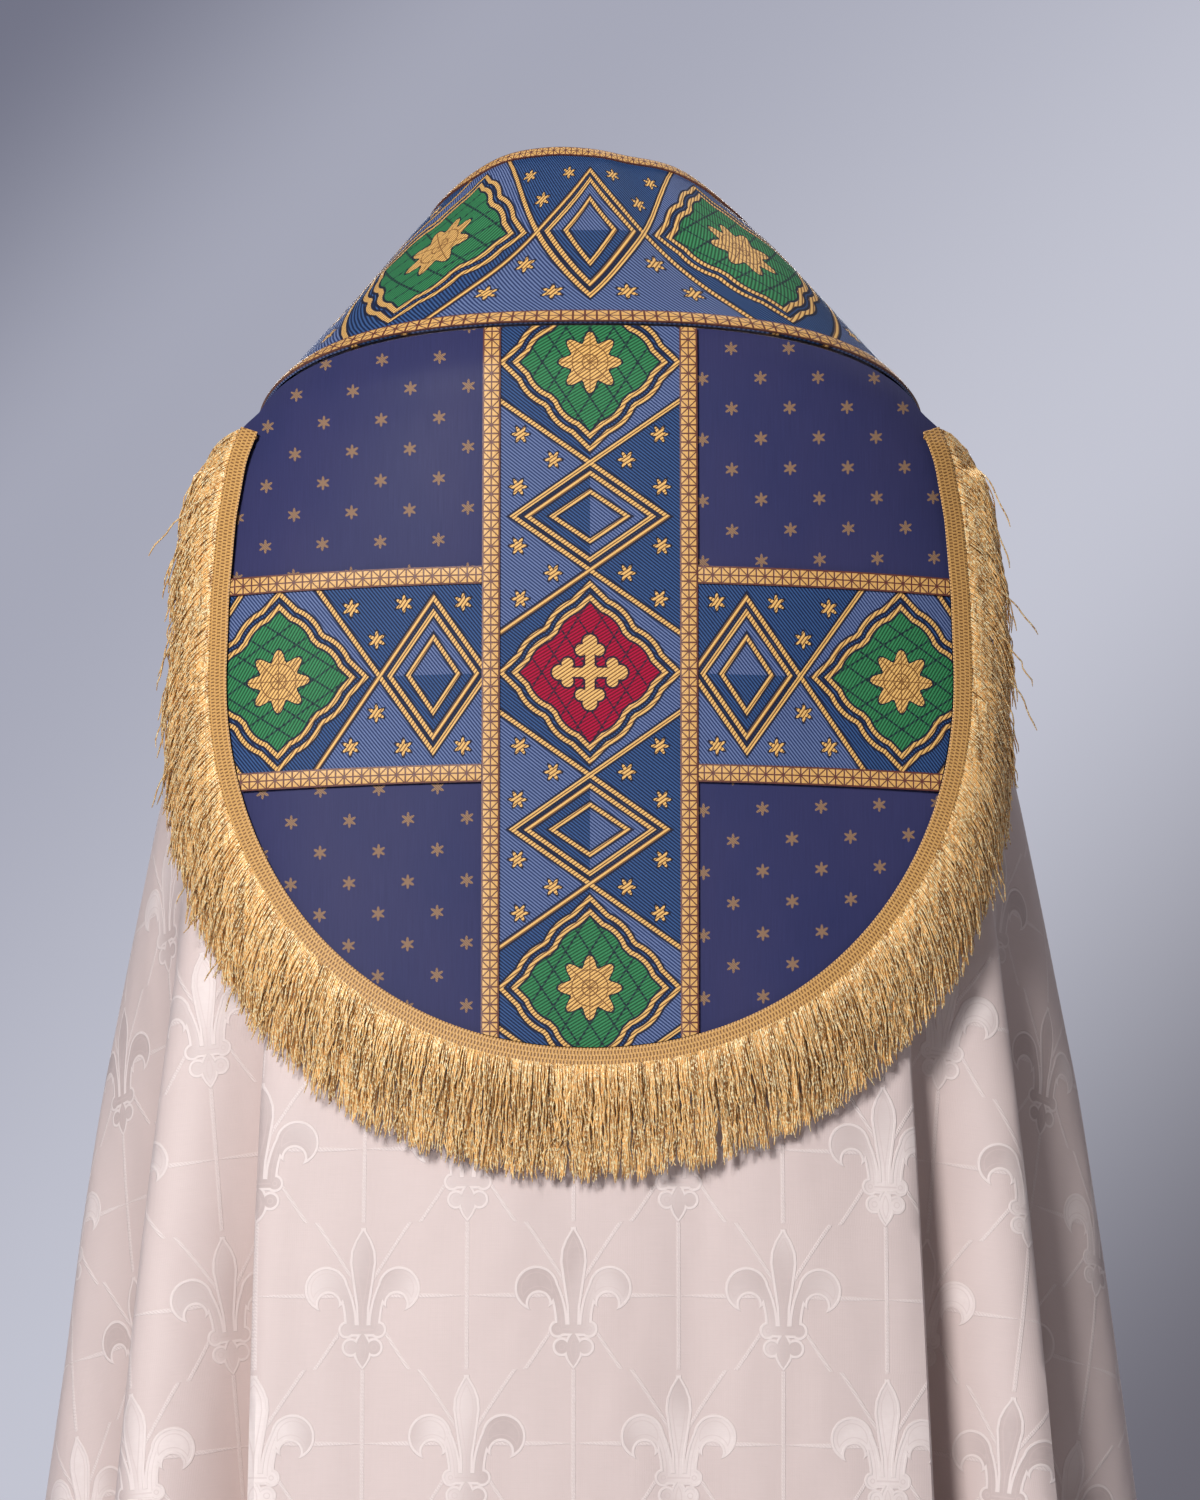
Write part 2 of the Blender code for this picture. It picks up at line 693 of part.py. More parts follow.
def make_morse(parts, finishes):
    """A tab of orphrey cloth over both front bands, with a gallon along its top and foot."""
    band_lift, gallon_lift = band_lifts()
    lift = gallon_lift + GALLON_THICKNESS + 3 * SEAM_GAP
    depth = MORSE_FOOT_ROW - MORSE_TOP_ROW
    shares = (0.0, MORSE_GALLON_SHARE, 0.5, 1 - MORSE_GALLON_SHARE, 1.0)
    places = [MORSE_TOP_ROW + depth * share for share in shares]
    from_edge = (0.040, 0.026, 0.012, 0.0)

    def sheet(rows):
        def surface(out):
            lines = []
            for place in rows:
                at = place - len(BAND_ROWS) + 2
                left = [front_point(at, distance, -1, out) for distance in from_edge]
                right = [front_point(at, distance, 1, out) for distance in from_edge[::-1]]
                middle = (left[-1] + right[0]) / 2
                lines.append([*left, middle, *right])
            return np.array(lines)

        return surface

    cloth("morse_tab", sheet(places), lift, ORPHREY_THICKNESS, finishes["orphrey"], parts)
    trim_lift = lift + ORPHREY_THICKNESS + SEAM_GAP
    gallon_wall = (trim_lift, GALLON_THICKNESS, finishes["gallon"], parts)
    cloth("morse_gallon_upper", sheet(places[:2]), *gallon_wall)
    cloth("morse_gallon_lower", sheet(places[-2:]), *gallon_wall)


def make_cope():
    clear_scene()
    parts = new_collection("cope")
    cutters = new_collection("cutters")
    finishes = {
        "damask": finish("cream damask", (0.72, 0.62, 0.57), 0.45),
        "orphrey": finish("blue orphrey", (0.08, 0.14, 0.33), 0.60),
        "gallon": finish("gold gallon", (0.62, 0.40, 0.12), 0.50, 0.3),
        "satin": finish("navy satin", (0.035, 0.040, 0.13), 0.50),
        "fringe": finish("gold fringe", (0.60, 0.42, 0.16), 0.45, 0.2),
    }
    make_cape_and_bands(parts, finishes)
    make_hood(parts, cutters, finishes)
    make_fringe(parts, finishes)
    make_morse(parts, finishes)


if __name__ == "__main__":
    make_cope()
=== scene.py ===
"""Looks for the cope: cloth, orphreys, gallons, hood, fringe, morse and a plain stage.

Every size is in metres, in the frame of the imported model. +Y is the wearer's front.
"""

import math
from collections import namedtuple
from contextlib import contextmanager
from functools import lru_cache

import bpy
import numpy as np
from bpy.props import FloatProperty, FloatVectorProperty, IntProperty, PointerProperty
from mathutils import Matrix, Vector


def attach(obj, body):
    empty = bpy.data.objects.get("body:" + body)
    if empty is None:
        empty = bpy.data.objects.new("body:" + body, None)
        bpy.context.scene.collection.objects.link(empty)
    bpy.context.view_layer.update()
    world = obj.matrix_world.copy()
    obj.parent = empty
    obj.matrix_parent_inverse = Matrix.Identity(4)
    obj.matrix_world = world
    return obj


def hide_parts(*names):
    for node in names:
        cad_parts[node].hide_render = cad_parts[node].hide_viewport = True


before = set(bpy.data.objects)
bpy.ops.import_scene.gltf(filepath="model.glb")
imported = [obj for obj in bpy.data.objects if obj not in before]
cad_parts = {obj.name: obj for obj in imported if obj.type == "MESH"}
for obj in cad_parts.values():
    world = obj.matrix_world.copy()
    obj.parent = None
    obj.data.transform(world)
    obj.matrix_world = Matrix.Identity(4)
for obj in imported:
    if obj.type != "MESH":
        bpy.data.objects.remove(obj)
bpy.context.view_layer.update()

bl_info = {
    "name": "Cope",
    "version": (1, 0, 0),
    "blender": (4, 5, 0),
    "location": "3D View > Sidebar > Cope",
    "description": "Makes the cloth, trimmings and fringe of a cope with a shield hood",
    "category": "Object",
}

BODY = "root"

# ---------------------------------------------------------------- named sizes

# Cloth walls, and how far apart neighbours are
CAPE_THICKNESS = 0.0015
ORPHREY_THICKNESS = 0.0010
GALLON_THICKNESS = 0.0010
GROUND_THICKNESS = 0.0012
HEADING_THICKNESS = 0.0016
SEAM_GAP = 0.0003
GALLON_WIDTH = 0.0115
SIDES = (("left", -1), ("right", 1))
WALLS = {
    "damask": CAPE_THICKNESS,
    "star_satin": GROUND_THICKNESS,
    "heading": HEADING_THICKNESS,
    "orphrey": ORPHREY_THICKNESS + SEAM_GAP,
    "gallon": GALLON_THICKNESS + SEAM_GAP,
}

# Bands: the rows across one, from its outer edge, and the steps between them
BAND_WIDTH = 0.150
BAND_ROWS = (0.0, GALLON_WIDTH, 0.075, BAND_WIDTH - GALLON_WIDTH, BAND_WIDTH)
BAND_STEPS = (4, 6, 6, 4)
BAND_COUNT = sum(BAND_STEPS)
BAND_LIFT = CAPE_THICKNESS + SEAM_GAP + ORPHREY_THICKNESS
BAND_GALLON_LIFT = BAND_LIFT + SEAM_GAP + GALLON_THICKNESS
NECK_MITRE_SHARE = 0.55
NECK_RISE = (0.0, 0.0, 0.0008, 0.0030, 0.0034)
NECK_RISE_BACK = -0.020
NECK_RISE_FRONT = 0.050
NECK_PHASE = 1.1
FRONT_PHASE = 2.06

# How the cape falls
SQUARENESS = 2.6
FOLD_TOP = -0.42
HEM = -1.40
FOLD_GROWTH = 0.75
FOLD_CREASE_GROWTH = 0.5
YOKE_LEVEL = -0.50
YOKE_PLACE = 5.7
ROWS_PER_SECTION = 9
BACK_COLUMNS = 28
FOLD_COLUMNS = 12
RING_STEPS = 400
PROBE = 0.002
FREE_LEVEL = -0.50
FREE_EASE = 0.12
FREE_COLUMNS = 8.0
CREASE_END = 0.05
CREASE_FADE = 0.7
CREASE_WANDER = 0.35
CREASE_WANDER_TURNS = 9
CREASE_WANDER_SHIFT = 40
# Waves: size, waves along the first measure, waves along the second one, and phase
NECK_WAVE = 0.0013
NECK_WAVES = ((1.0, 9.0, 0.0, 0.8), (0.6, 16.0, -3.0, 0.0))

# The fold depth at which the painted shade is at its darkest, and how early that painted shade begins
PAINTED_SHADE_DEPTH = 0.045
PAINTED_SHADE_START = 0.15

# Where the neck's edge sinks: place across, width and depth; and how far down the band it fades
NECK_SINKS = ((0.088, 0.034, 0.0150), (-0.088, 0.024, 0.0040), (0.030, 0.030, 0.0060))
NECK_SINK_END = 0.85
NECK_SINK_FADE = 1.5
NECK_SINK_FRONT = 0.02

# Hood
HOOD_HALF_WIDTH = 0.2460
HOOD_WIDEST = -0.350
HOOD_FOOT = -0.599
HOOD_ROUNDNESS = 2.1
HOOD_TUCK = 0.0012
HOOD_EASE_TOP = 0.04
HOOD_EASE = 0.09
HOOD_STANDOFF_SIDE = 0.006
HOOD_SIDE_START = 3.0
HOOD_STANDOFF_TOP = 0.0020
HOOD_STANDOFF_FOOT = 0.016
HOOD_STANDOFF_END = 1.1
HOOD_STANDOFF_POWER = 1.6
HOOD_RIPPLE = 0.0011
HOOD_RIPPLE_SIDE = 0.08
HOOD_RIPPLE_TOP = -0.16
HOOD_RIPPLE_FADE = 0.2
HOOD_WAVES = ((1.0, 41, 6, 0.0), (0.6, 23, -17, 1.0))
HOOD_RINGS = 27
HOOD_EDGE_STEPS = 321
HOOD_TOP_STEPS = 61
HOOD_LIFT = SEAM_GAP + GROUND_THICKNESS
OUTLINE_STEPS = 81
HALVINGS = 34
HOOD_PROBE = 0.004
HOOD_SIDES = ((-0.181, 0.2165), (-0.188, 0.2275), (-0.208, 0.2350), (-0.2475, 0.2415), (-0.3000, 0.2452))

# The cross on the hood
CROSS_HALF_WIDTH = 0.0575
ARM_LEVEL = -0.3495
ARM_DROOP = 0.0085
ARM_PHASE = 3.0
FOOT_LEVEL = -0.52
SIDE_START = 0.1
GALLON_ROWS = 7
CROSS_STEPS = 31
UPRIGHT_STEPS = 101
ARM_STEPS = 51
ARM_GALLON_STEPS = 41
ARM_ROUNDS = 4
CROSS_LIFT = HOOD_LIFT + SEAM_GAP + ORPHREY_THICKNESS
CROSS_GALLON_LIFT = CROSS_LIFT + SEAM_GAP + GALLON_THICKNESS

# Fringe
HEADING_WIDTH = 0.012
HEADING_LINE_STEPS = 401
HEADING_SMOOTHINGS = 6
HEADING_GAP = 0.0022
FRINGE_LIFT = HOOD_LIFT + HEADING_GAP
HEADING_OVERHANG = 0.0006
HEADING_COLUMNS = (0.0, 0.04, 0.09, 0.14, 0.25, 0.4, 0.55, 0.7, 0.85, 0.95, 1.0)
STEPS_PER_RIB = 4
HEADING_RIB = 0.00016
HEADING_BODY = 0.00030
HEADING_BODY_START = 0.05
HEADING_CORD = 0.00055
HEADING_CORD_PLACE = 0.93
HEADING_CORD_WIDTH = 0.045
HEADING_CORD_RIB = 0.25
FRINGE_REACH_SHARE = 0.94
FRINGE_LAYERS = (("back", 0.0004, 21), ("middle", 0.0010, 22), ("front", 0.0017, 23))
ROOT_TUCK = 0.0015
TUFT_LEAN = 0.075
THREAD_LEAN = 0.034
STRAY_SHARE = 0.05
STRAY_LEAN = 0.30
GATHER_SHARES = (0.45, 1.0)
LENGTH_SHARES = (0.84, 1.0)
TUFT_SHORTENING = 0.045
CURL_TURNS = (2.0, 5.0)
CURL_SIZES = (0.0002, 0.0011)
THREAD_BELLY = 0.0065
HANG_SHARE = 0.55
HANG_GAP = 0.004
LEAST_GAP = 0.0015
TIP_SIZE = 0.55
ROOT_SPREAD = (0.1, 0.9)
CURL_START = 4
BELLY_POWER = 0.8
BELLY_SHARES = (0.1, 1.0)
# A thread's share of fall at its root, what it gains and how soon; then how far out it stands
FALL_ROOT = 0.32
FALL_GAIN = 0.68
FALL_POWER = 0.6
OUT_SHARE = 1.22
OUT_ROOT = 0.12
LEAN_ROOT = 0.3
GATHER_POWER = 1.5

# Morse
MORSE_TOP_PLACE = 3.25
MORSE_FOOT_PLACE = 5.0
MORSE_STEPS = 21
MORSE_LAP_STEPS = 9
MORSE_GAP_STEPS = 14
MORSE_LIFT = BAND_GALLON_LIFT + 3 * SEAM_GAP + ORPHREY_THICKNESS
MORSE_GALLON_LIFT = MORSE_LIFT + SEAM_GAP + GALLON_THICKNESS
MORSE_GALLON_SHARE = 0.11
MORSE_HALF_LAP = 0.040
MORSE_PHASE = 4.0

# Stage
CAMERA_PLACE = (0.0064, -3.81, -0.399)
SENSOR_HEIGHT = 24.0
VIEW_END = 50.0
LAMP_AIM = Vector((0.0, -0.1, -0.55))
FLOOR_RADIUS = 3.0
FLOOR_SIDES = 96
ROOM_SLANT = (2.1, 0.0, -2.1)
ROOM_STOPS = (0.0, 0.2, 0.58, 1.0)
ROOM_DEPTH = (-0.1, 0.7)

# Lamps: name, place, size and colour
LAMPS = (
    ("key", (-1.55, -3.8, 1.5), 1.1, (1.0, 0.98, 0.97)),
    ("fill", (2.8, -3.0, 0.3), 2.6, (1.0, 0.95, 0.90)),
    ("top", (0.4, 1.6, 2.6), 2.0, (1.0, 0.98, 0.96)),
    ("front", (0.0, 3.9, 0.7), 2.0, (1.0, 0.98, 0.96)),
)

Section = namedtuple("Section", "name back_z front_z half_width back_reach front_reach gap")
SECTIONS = (
    Section("neck edge", 0.000, -0.118, 0.107, 0.070, 0.082, 0.050),
    Section("band edge", -0.1260, -0.250, 0.218, 0.172, 0.130, 0.052),
    Section("shoulder", -0.1730, -0.288, 0.250, 0.191, 0.143, 0.053),
    Section("blades", -0.240, -0.342, 0.264, 0.203, 0.153, 0.055),
    Section("chest", -0.330, -0.412, 0.276, 0.212, 0.163, 0.057),
    Section("elbow", -0.430, -0.488, 0.289, 0.221, 0.173, 0.060),
    Section("waist", -0.530, -0.563, 0.302, 0.230, 0.185, 0.063),
    Section("hip", -0.630, -0.650, 0.314, 0.240, 0.197, 0.066),
    Section("seat", -0.740, -0.750, 0.327, 0.252, 0.210, 0.070),
    Section("thigh", -0.860, -0.863, 0.340, 0.266, 0.224, 0.075),
    Section("knee", -0.990, -0.990, 0.355, 0.282, 0.240, 0.080),
    Section("calf", -1.120, -1.120, 0.372, 0.300, 0.257, 0.085),
    Section("shin", -1.260, -1.260, 0.391, 0.319, 0.276, 0.090),
    Section("hem", HEM, HEM, 0.412, 0.338, 0.296, 0.095),
)

# Shares run along the cloth from the centre back (0) to the front band (1).
Fold = namedtuple("Fold", "name yoke_share hem_share push")
LEFT_FOLDS = (
    Fold("centre back", 0.000, 0.000, 0.000),
    Fold("panel edge", 0.325, 0.215, 0.024),
    Fold("first valley", 0.360, 0.250, -0.062),
    Fold("second crest", 0.440, 0.355, 0.034),
    Fold("second valley", 0.505, 0.415, -0.040),
    Fold("side crest", 0.640, 0.550, 0.034),
    Fold("side valley", 0.735, 0.655, -0.055),
    Fold("third crest", 0.815, 0.750, 0.045),
    Fold("third valley", 0.885, 0.840, -0.055),
    Fold("front crest", 0.950, 0.930, 0.036),
    Fold("front band", 1.000, 1.000, 0.000),
)
RIGHT_FOLDS = (
    Fold("centre back", 0.000, 0.000, 0.000),
    Fold("panel edge", 0.321, 0.240, 0.022),
    Fold("first valley", 0.354, 0.274, -0.060),
    Fold("second crest", 0.445, 0.348, 0.034),
    Fold("second valley", 0.480, 0.385, -0.052),
    Fold("side crest", 0.620, 0.530, 0.036),
    Fold("side valley", 0.720, 0.640, -0.052),
    Fold("third crest", 0.810, 0.740, 0.048),
    Fold("third valley", 0.880, 0.830, -0.058),
    Fold("front crest", 0.950, 0.925, 0.034),
    Fold("front band", 1.000, 1.000, 0.000),
)

# Soft troughs and ridges in the cape, on its flat cut: from (u0, v0) to (u1, v1), where u runs
# from the centre back to the wearer's right and v down from the yoke. A ridge has height > 0.
Crease = namedtuple("Crease", "u0 v0 u1 v1 width height")
CREASES = (
    Crease(-0.190, -0.10, -0.215, 0.62, 0.016, 0.0030),
    Crease(-0.120, 0.02, -0.165, 0.88, 0.030, -0.0035),
    Crease(-0.045, 0.10, -0.075, 0.90, 0.040, 0.0030),
    Crease(0.060, 0.05, 0.080, 0.85, 0.034, -0.0035),
    Crease(0.135, -0.02, 0.190, 0.90, 0.028, 0.0032),
    Crease(0.205, -0.12, 0.235, 0.55, 0.014, -0.0030),
    Crease(0.010, 0.45, 0.030, 0.90, 0.022, 0.0022),
    Crease(-0.240, 0.20, -0.300, 0.90, 0.020, 0.0028),
    Crease(0.260, 0.15, 0.330, 0.90, 0.020, 0.0030),
    Crease(-0.420, -0.05, -0.560, 0.80, 0.024, 0.0040),
    Crease(-0.520, 0.02, -0.720, 0.72, 0.020, -0.0040),
    Crease(0.410, -0.05, 0.560, 0.80, 0.024, 0.0040),
    Crease(0.500, 0.02, 0.700, 0.72, 0.020, -0.0040),
    Crease(-0.640, 0.05, -0.900, 0.62, 0.024, 0.0035),
    Crease(0.640, 0.05, 0.900, 0.62, 0.024, 0.0035),
)

# Sharper places beside the folds: how many columns out from the centre back, spread and height.
FoldCrease = namedtuple("FoldCrease", "side column spread height")
FOLD_CREASES = (
    FoldCrease(-1, 35, 3.2, -0.016),
    FoldCrease(-1, 27, 2.6, 0.0030),
    FoldCrease(-1, 51, 4.5, 0.0070),
    FoldCrease(-1, 62, 3.5, -0.0090),
    FoldCrease(1, 35, 3.2, -0.013),
    FoldCrease(1, 27, 2.6, 0.0030),
    FoldCrease(1, 49, 4.2, 0.0060),
    FoldCrease(1, 59, 4.4, -0.0160),
    *(FoldCrease(side, column, 4.0, -0.0080) for column in (88, 112) for side in (-1, 1)),
)


# ---------------------------------------------------------------- the cape's surface


def curve_through(table, places):
    """Smooth curves through the rows of a table, at places counted from 0."""
    places = np.clip(np.asarray(places, float), 0.0, len(table) - 1.0)
    low = np.minimum(places.astype(int), len(table) - 2)
    t = (places - low)[..., None]
    before, start, end, after = (table[np.clip(low + step, 0, len(table) - 1)] for step in (-1, 0, 1, 2))
    return (
        start * (2 * t**3 - 3 * t**2 + 1)
        + (end - before) / 2 * (t**3 - 2 * t**2 + t)
        + end * (3 * t**2 - 2 * t**3)
        + (after - start) / 2 * (t**3 - t**2)
    )


def between_sections(places):
    """Columns of back_z, front_z, half_width, back_reach, front_reach and gap at some places."""
    table = np.array([section[1:] for section in SECTIONS])
    return np.moveaxis(curve_through(table, places), -1, 0)


def oval_points(section, angle, side):
    """Points on a section's smooth oval. Angle 0 is the centre back and pi the centre front."""
    back_z, front_z, half_width, back_reach, front_reach, _ = section
    rounding = 2 / SQUARENESS
    across = half_width * np.abs(np.sin(angle)) ** rounding
    cosine = np.cos(angle)
    reach = np.where(cosine > 0, back_reach, front_reach)
    along = -reach * np.sign(cosine) * np.abs(cosine) ** rounding
    height = back_z + (front_z - back_z) * (1 - cosine) / 2
    return np.stack([side * across, along, height + 0 * across], axis=-1)


def lengths_of(line):
    """How far along a line each of its points is."""
    return np.concatenate([[0.0], np.cumsum(np.linalg.norm(np.diff(line, axis=0), axis=1))])


def at_distance(line, lengths, distance):
    """Points at some distances along a line."""
    return np.stack([np.interp(distance, lengths, line[:, axis]) for axis in range(line.shape[1])], axis=-1)


def half_ring(section, side):
    """Close points from the centre back to the front edge, and how far along each one is."""
    half_width, gap = section[2], section[5]
    last = math.pi - math.asin((gap / half_width) ** (SQUARENESS / 2))
    ring = oval_points(section, np.linspace(0.0, last, RING_STEPS + 1), side)
    return ring, lengths_of(ring)


def outward_of(along, towards):
    """Level unit vectors square to a line, on the side that points away from the wearer."""
    outward = np.stack([along[..., 1], -along[..., 0], 0 * along[..., 0]], axis=-1)
    outward /= np.linalg.norm(outward, axis=-1, keepdims=True)
    inside = (outward * towards).sum(axis=-1, keepdims=True) < 0
    return np.where(inside, -outward, outward)


@lru_cache(maxsize=None)
def fold_columns(folds):
    """Arrays of yoke share, hem share and push for every column to the front band."""
    columns = [(0.0, 0.0, 0.0)]
    for before, after in zip(folds, folds[1:]):
        first = before.name == "centre back"
        count = BACK_COLUMNS if first else FOLD_COLUMNS
        for step in range(1, count + 1):
            t = step / count
            yoke = before.yoke_share + (after.yoke_share - before.yoke_share) * t
            hem = before.hem_share + (after.hem_share - before.hem_share) * t
            eased = t**4 if first else (1 - math.cos(math.pi * t)) / 2
            columns.append((yoke, hem, before.push + (after.push - before.push) * eased))
    return np.array(columns).T


@lru_cache(maxsize=1)
def band_distances():
    """Distances from a band's outer edge to its inner one, the gallons' edges among them."""
    distances = [0.0]
    for start, end, steps in zip(BAND_ROWS, BAND_ROWS[1:], BAND_STEPS):
        distances += [start + (end - start) * step / steps for step in range(1, steps + 1)]
    return np.array(distances)


def cape_places():
    """The places of the cape's rows, counted in sections."""
    last = len(SECTIONS) - 1
    below = np.linspace(1.0, last, (last - 1) * ROWS_PER_SECTION + 1)[1:]
    return np.concatenate([band_distances() / BAND_WIDTH, below])


def fold_share(z):
    """0 above the folds and 1 at the hem."""
    return np.clip((FOLD_TOP - z) / (FOLD_TOP - HEM), 0.0, 1.0)


def half_row(place, side, folds):
    """One row of the cape's points, from the centre back to the front edge."""
    section = between_sections(place)
    ring, lengths = half_ring(section, side)
    spread = NECK_MITRE_SHARE + (1 - NECK_MITRE_SHARE) * min(place, 1.0)
    free = lengths[-1] - BAND_WIDTH * spread
    down = min(max((YOKE_LEVEL - section[0]) / (YOKE_LEVEL - HEM), 0.0), 1.0)
    yoke, hem, push = fold_columns(folds)
    distance = (yoke + (hem - yoke) * down) * free
    points = at_distance(ring, lengths, distance)
    along = at_distance(ring, lengths, distance + PROBE) - at_distance(ring, lengths, distance - PROBE)
    outward = outward_of(along, points * (1, 1, 0))
    points = points + outward * (push * fold_share(points[:, 2]) ** FOLD_GROWTH)[:, None]
    edge = lengths[-1] - band_distances()[::-1][1:] * spread
    return np.concatenate([points, at_distance(ring, lengths, edge)])


def unit_normals(points):
    normals = np.cross(np.gradient(points, axis=0), np.gradient(points, axis=1))
    normals /= np.linalg.norm(normals, axis=2, keepdims=True)
    outward = (normals[..., :2] * points[..., :2]).sum()
    return normals if outward > 0 else -normals


def flat_cut(points, yoke_row):
    """The cape laid flat: each strip between two columns is a wedge that opens towards the hem."""
    columns = points.shape[1]
    middle = columns // 2
    steps = np.linalg.norm(np.diff(points, axis=0), axis=2)
    down = np.concatenate([np.zeros((1, columns)), np.cumsum(steps, axis=0)])
    down -= down[yoke_row]
    widths = np.linalg.norm(np.diff(points, axis=1), axis=2)
    opening = (widths[-1] - widths[yoke_row]) / down[-1].mean()
    turn = np.concatenate([[0.0], np.cumsum(opening)])
    turn -= turn[middle]
    between = (turn[1:] + turn[:-1]) / 2
    across = np.stack([np.cos(between), np.sin(between)], axis=1) * widths[yoke_row][:, None]
    start = np.concatenate([[[0.0, 0.0]], np.cumsum(across, axis=0)])
    start -= start[middle]
    u = start[None, :, 0] + down * np.sin(turn)[None]
    v = start[None, :, 1] - down * np.cos(turn)[None]
    return np.stack([u, v], axis=2)


def crease_heights(flat):
    """How far the creases lift or sink each point of the flat cut."""
    height = np.zeros(flat.shape[:2])
    for crease in CREASES:
        start = np.array([crease.u0, -crease.v0])
        along = np.array([crease.u1, -crease.v1]) - start
        share = ((flat - start) @ along) / (along @ along)
        off = np.linalg.norm(flat - start - np.clip(share, 0, 1)[..., None] * along, axis=2)
        inner = np.clip(share * (1 - 2 * CREASE_END) + CREASE_END, 0, 1)
        fade = np.clip(np.sin(math.pi * inner), 0, 1) ** CREASE_FADE
        wander = 1 + CREASE_WANDER * np.sin(share * CREASE_WANDER_TURNS + crease.u0 * CREASE_WANDER_SHIFT)
        height += crease.height * fade * np.exp(-((off / (crease.width * wander)) ** 2))
    return height


def fold_crease_heights(points):
    """How far the folds' sharper places lift or sink each point, more towards the hem."""
    columns = points.shape[1]
    out = np.arange(columns) - columns // 2
    down = fold_share(points[..., 2]) ** FOLD_CREASE_GROWTH
    height = np.zeros(points.shape[:2])
    for side, column, spread, most in FOLD_CREASES:
        height += most * down * np.exp(-(((out * side - column) / spread) ** 2))
    return height


def painted_fold_shade_shares(points):
    """Shares of painted shade: 0 on the folds' crests and up to 1 deep in their troughs."""
    left, right = (fold_columns(folds)[2] for folds in (LEFT_FOLDS, RIGHT_FOLDS))
    push = np.pad(np.concatenate([left[:0:-1], right]), BAND_COUNT)
    depth = -push[None, :] * fold_share(points[..., 2]) ** FOLD_GROWTH - fold_crease_heights(points)
    return np.clip(depth / PAINTED_SHADE_DEPTH + PAINTED_SHADE_START, 0.0, 1.0)


def neck_sink(points, places):
    """How far the neck's edge sinks at the back, more to the wearer's right than to the left."""
    x = points[..., 0]
    sink = sum(depth * np.exp(-(((x - at) / width) ** 2)) for at, width, depth in NECK_SINKS)
    fade = np.clip(1 - places / NECK_SINK_END, 0.0, 1.0)[:, None] ** NECK_SINK_FADE
    return sink * fade * (points[..., 1] < NECK_SINK_FRONT)


def waves(table, first, second):
    """A sum of sine waves over two measures."""
    return sum(size * np.sin(first * a + second * b + phase) for size, a, b, phase in table)


def band_waves(points, places):
    """The neck band's slight waves, which fade towards both of its edges."""
    wave = waves(NECK_WAVES, np.arctan2(points[..., 0], -points[..., 1]), places[:, None])
    return NECK_WAVE * wave * np.sin(math.pi * np.clip(places, 0.0, 1.0))[:, None]


def free_cloth(points):
    """1 where the cape hangs free and 0 under the hood and the bands."""
    columns = np.arange(points.shape[1])
    from_front = np.minimum(columns, columns[::-1]) - BAND_COUNT
    away = np.clip(from_front / FREE_COLUMNS, 0.0, 1.0)[None, :]
    return away * np.clip((FREE_LEVEL - points[..., 2]) / FREE_EASE, 0.0, 1.0)


@lru_cache(maxsize=1)
def cape_surface():
    """(points, normals, flat) over the cape's inner face, from the left front to the right."""
    places = cape_places()
    halves = ((half_row(place, -1, LEFT_FOLDS), half_row(place, 1, RIGHT_FOLDS)) for place in places)
    points = np.array([np.concatenate([left[:0:-1], right]) for left, right in halves])
    points[..., 2] -= neck_sink(points, places)
    flat = flat_cut(points, int(np.argmin(np.abs(places - YOKE_PLACE))))
    ease = (crease_heights(flat) + fold_crease_heights(points)) * free_cloth(points)
    ease = ease + band_waves(points, places)
    points = points + unit_normals(points) * ease[..., None]
    return points, unit_normals(points), flat


# ---------------------------------------------------------------- the hood's surface


def back_points(section, x):
    share = np.minimum(np.abs(x) / section[2], 1.0)
    return oval_points(section, np.arcsin(share ** (SQUARENESS / 2)), np.sign(x) + (x == 0))


def back_y(x, z):
    """How far back the smooth back of the cape is at (x, z), found by halving."""
    low = np.zeros_like(x)
    high = np.full_like(x, len(SECTIONS) - 1.0)
    for _ in range(HALVINGS):
        middle = (low + high) / 2
        above = back_points(between_sections(middle), x)[..., 2] > z
        low, high = np.where(above, middle, low), np.where(above, high, middle)
    return back_points(between_sections((low + high) / 2), x)[..., 1]


def hood_share(z, foot):
    return np.clip((SECTIONS[1].back_z - z) / (SECTIONS[1].back_z - foot), 0.0, None)


def standoff(x, z):
    """How far the hood stands off the cape."""
    share = np.minimum(hood_share(z, HOOD_FOOT), HOOD_STANDOFF_END)
    side = HOOD_STANDOFF_SIDE * (x / HOOD_HALF_WIDTH) ** 4 * np.minimum(share * HOOD_SIDE_START, 1.0)
    return HOOD_STANDOFF_TOP + HOOD_STANDOFF_FOOT * share**HOOD_STANDOFF_POWER + side


def hood_y(x, z):
    share = np.minimum(hood_share(z, HOOD_WIDEST), 1.0)
    return back_y(x * (1 - HOOD_EASE_TOP - (HOOD_EASE - HOOD_EASE_TOP) * share), z)


def ripple(x, z):
    """The hood's slight waves, strongest low down between the cross and the edge."""
    field = np.clip((np.abs(x) - CROSS_HALF_WIDTH) / HOOD_RIPPLE_SIDE, 0.0, 1.0)
    low = np.clip((HOOD_RIPPLE_TOP - z) / HOOD_RIPPLE_FADE, 0.0, 1.0)
    return HOOD_RIPPLE * field * low * waves(HOOD_WAVES, x, z)


def hood_top(x):
    return back_points(between_sections(np.ones_like(x)), x)[..., 2] + HOOD_TUCK


def hood_points(x, z, lift):
    """Points over the cape's back, square to the hood's surface but at the same (x, z)."""
    step = HOOD_PROBE
    low = np.minimum(z, hood_top(x) - 3 * step)
    slope_x = (hood_y(x + step, low) - hood_y(x - step, low)) / (2 * step)
    slope_z = (hood_y(x, low + step) - hood_y(x, low - step)) / (2 * step)
    steepness = np.sqrt(1 + slope_x**2 + slope_z**2)
    out = CAPE_THICKNESS + standoff(x, z) + ripple(x, z) + lift
    return np.stack([x, hood_y(x, z) - out * steepness, z], axis=-1)


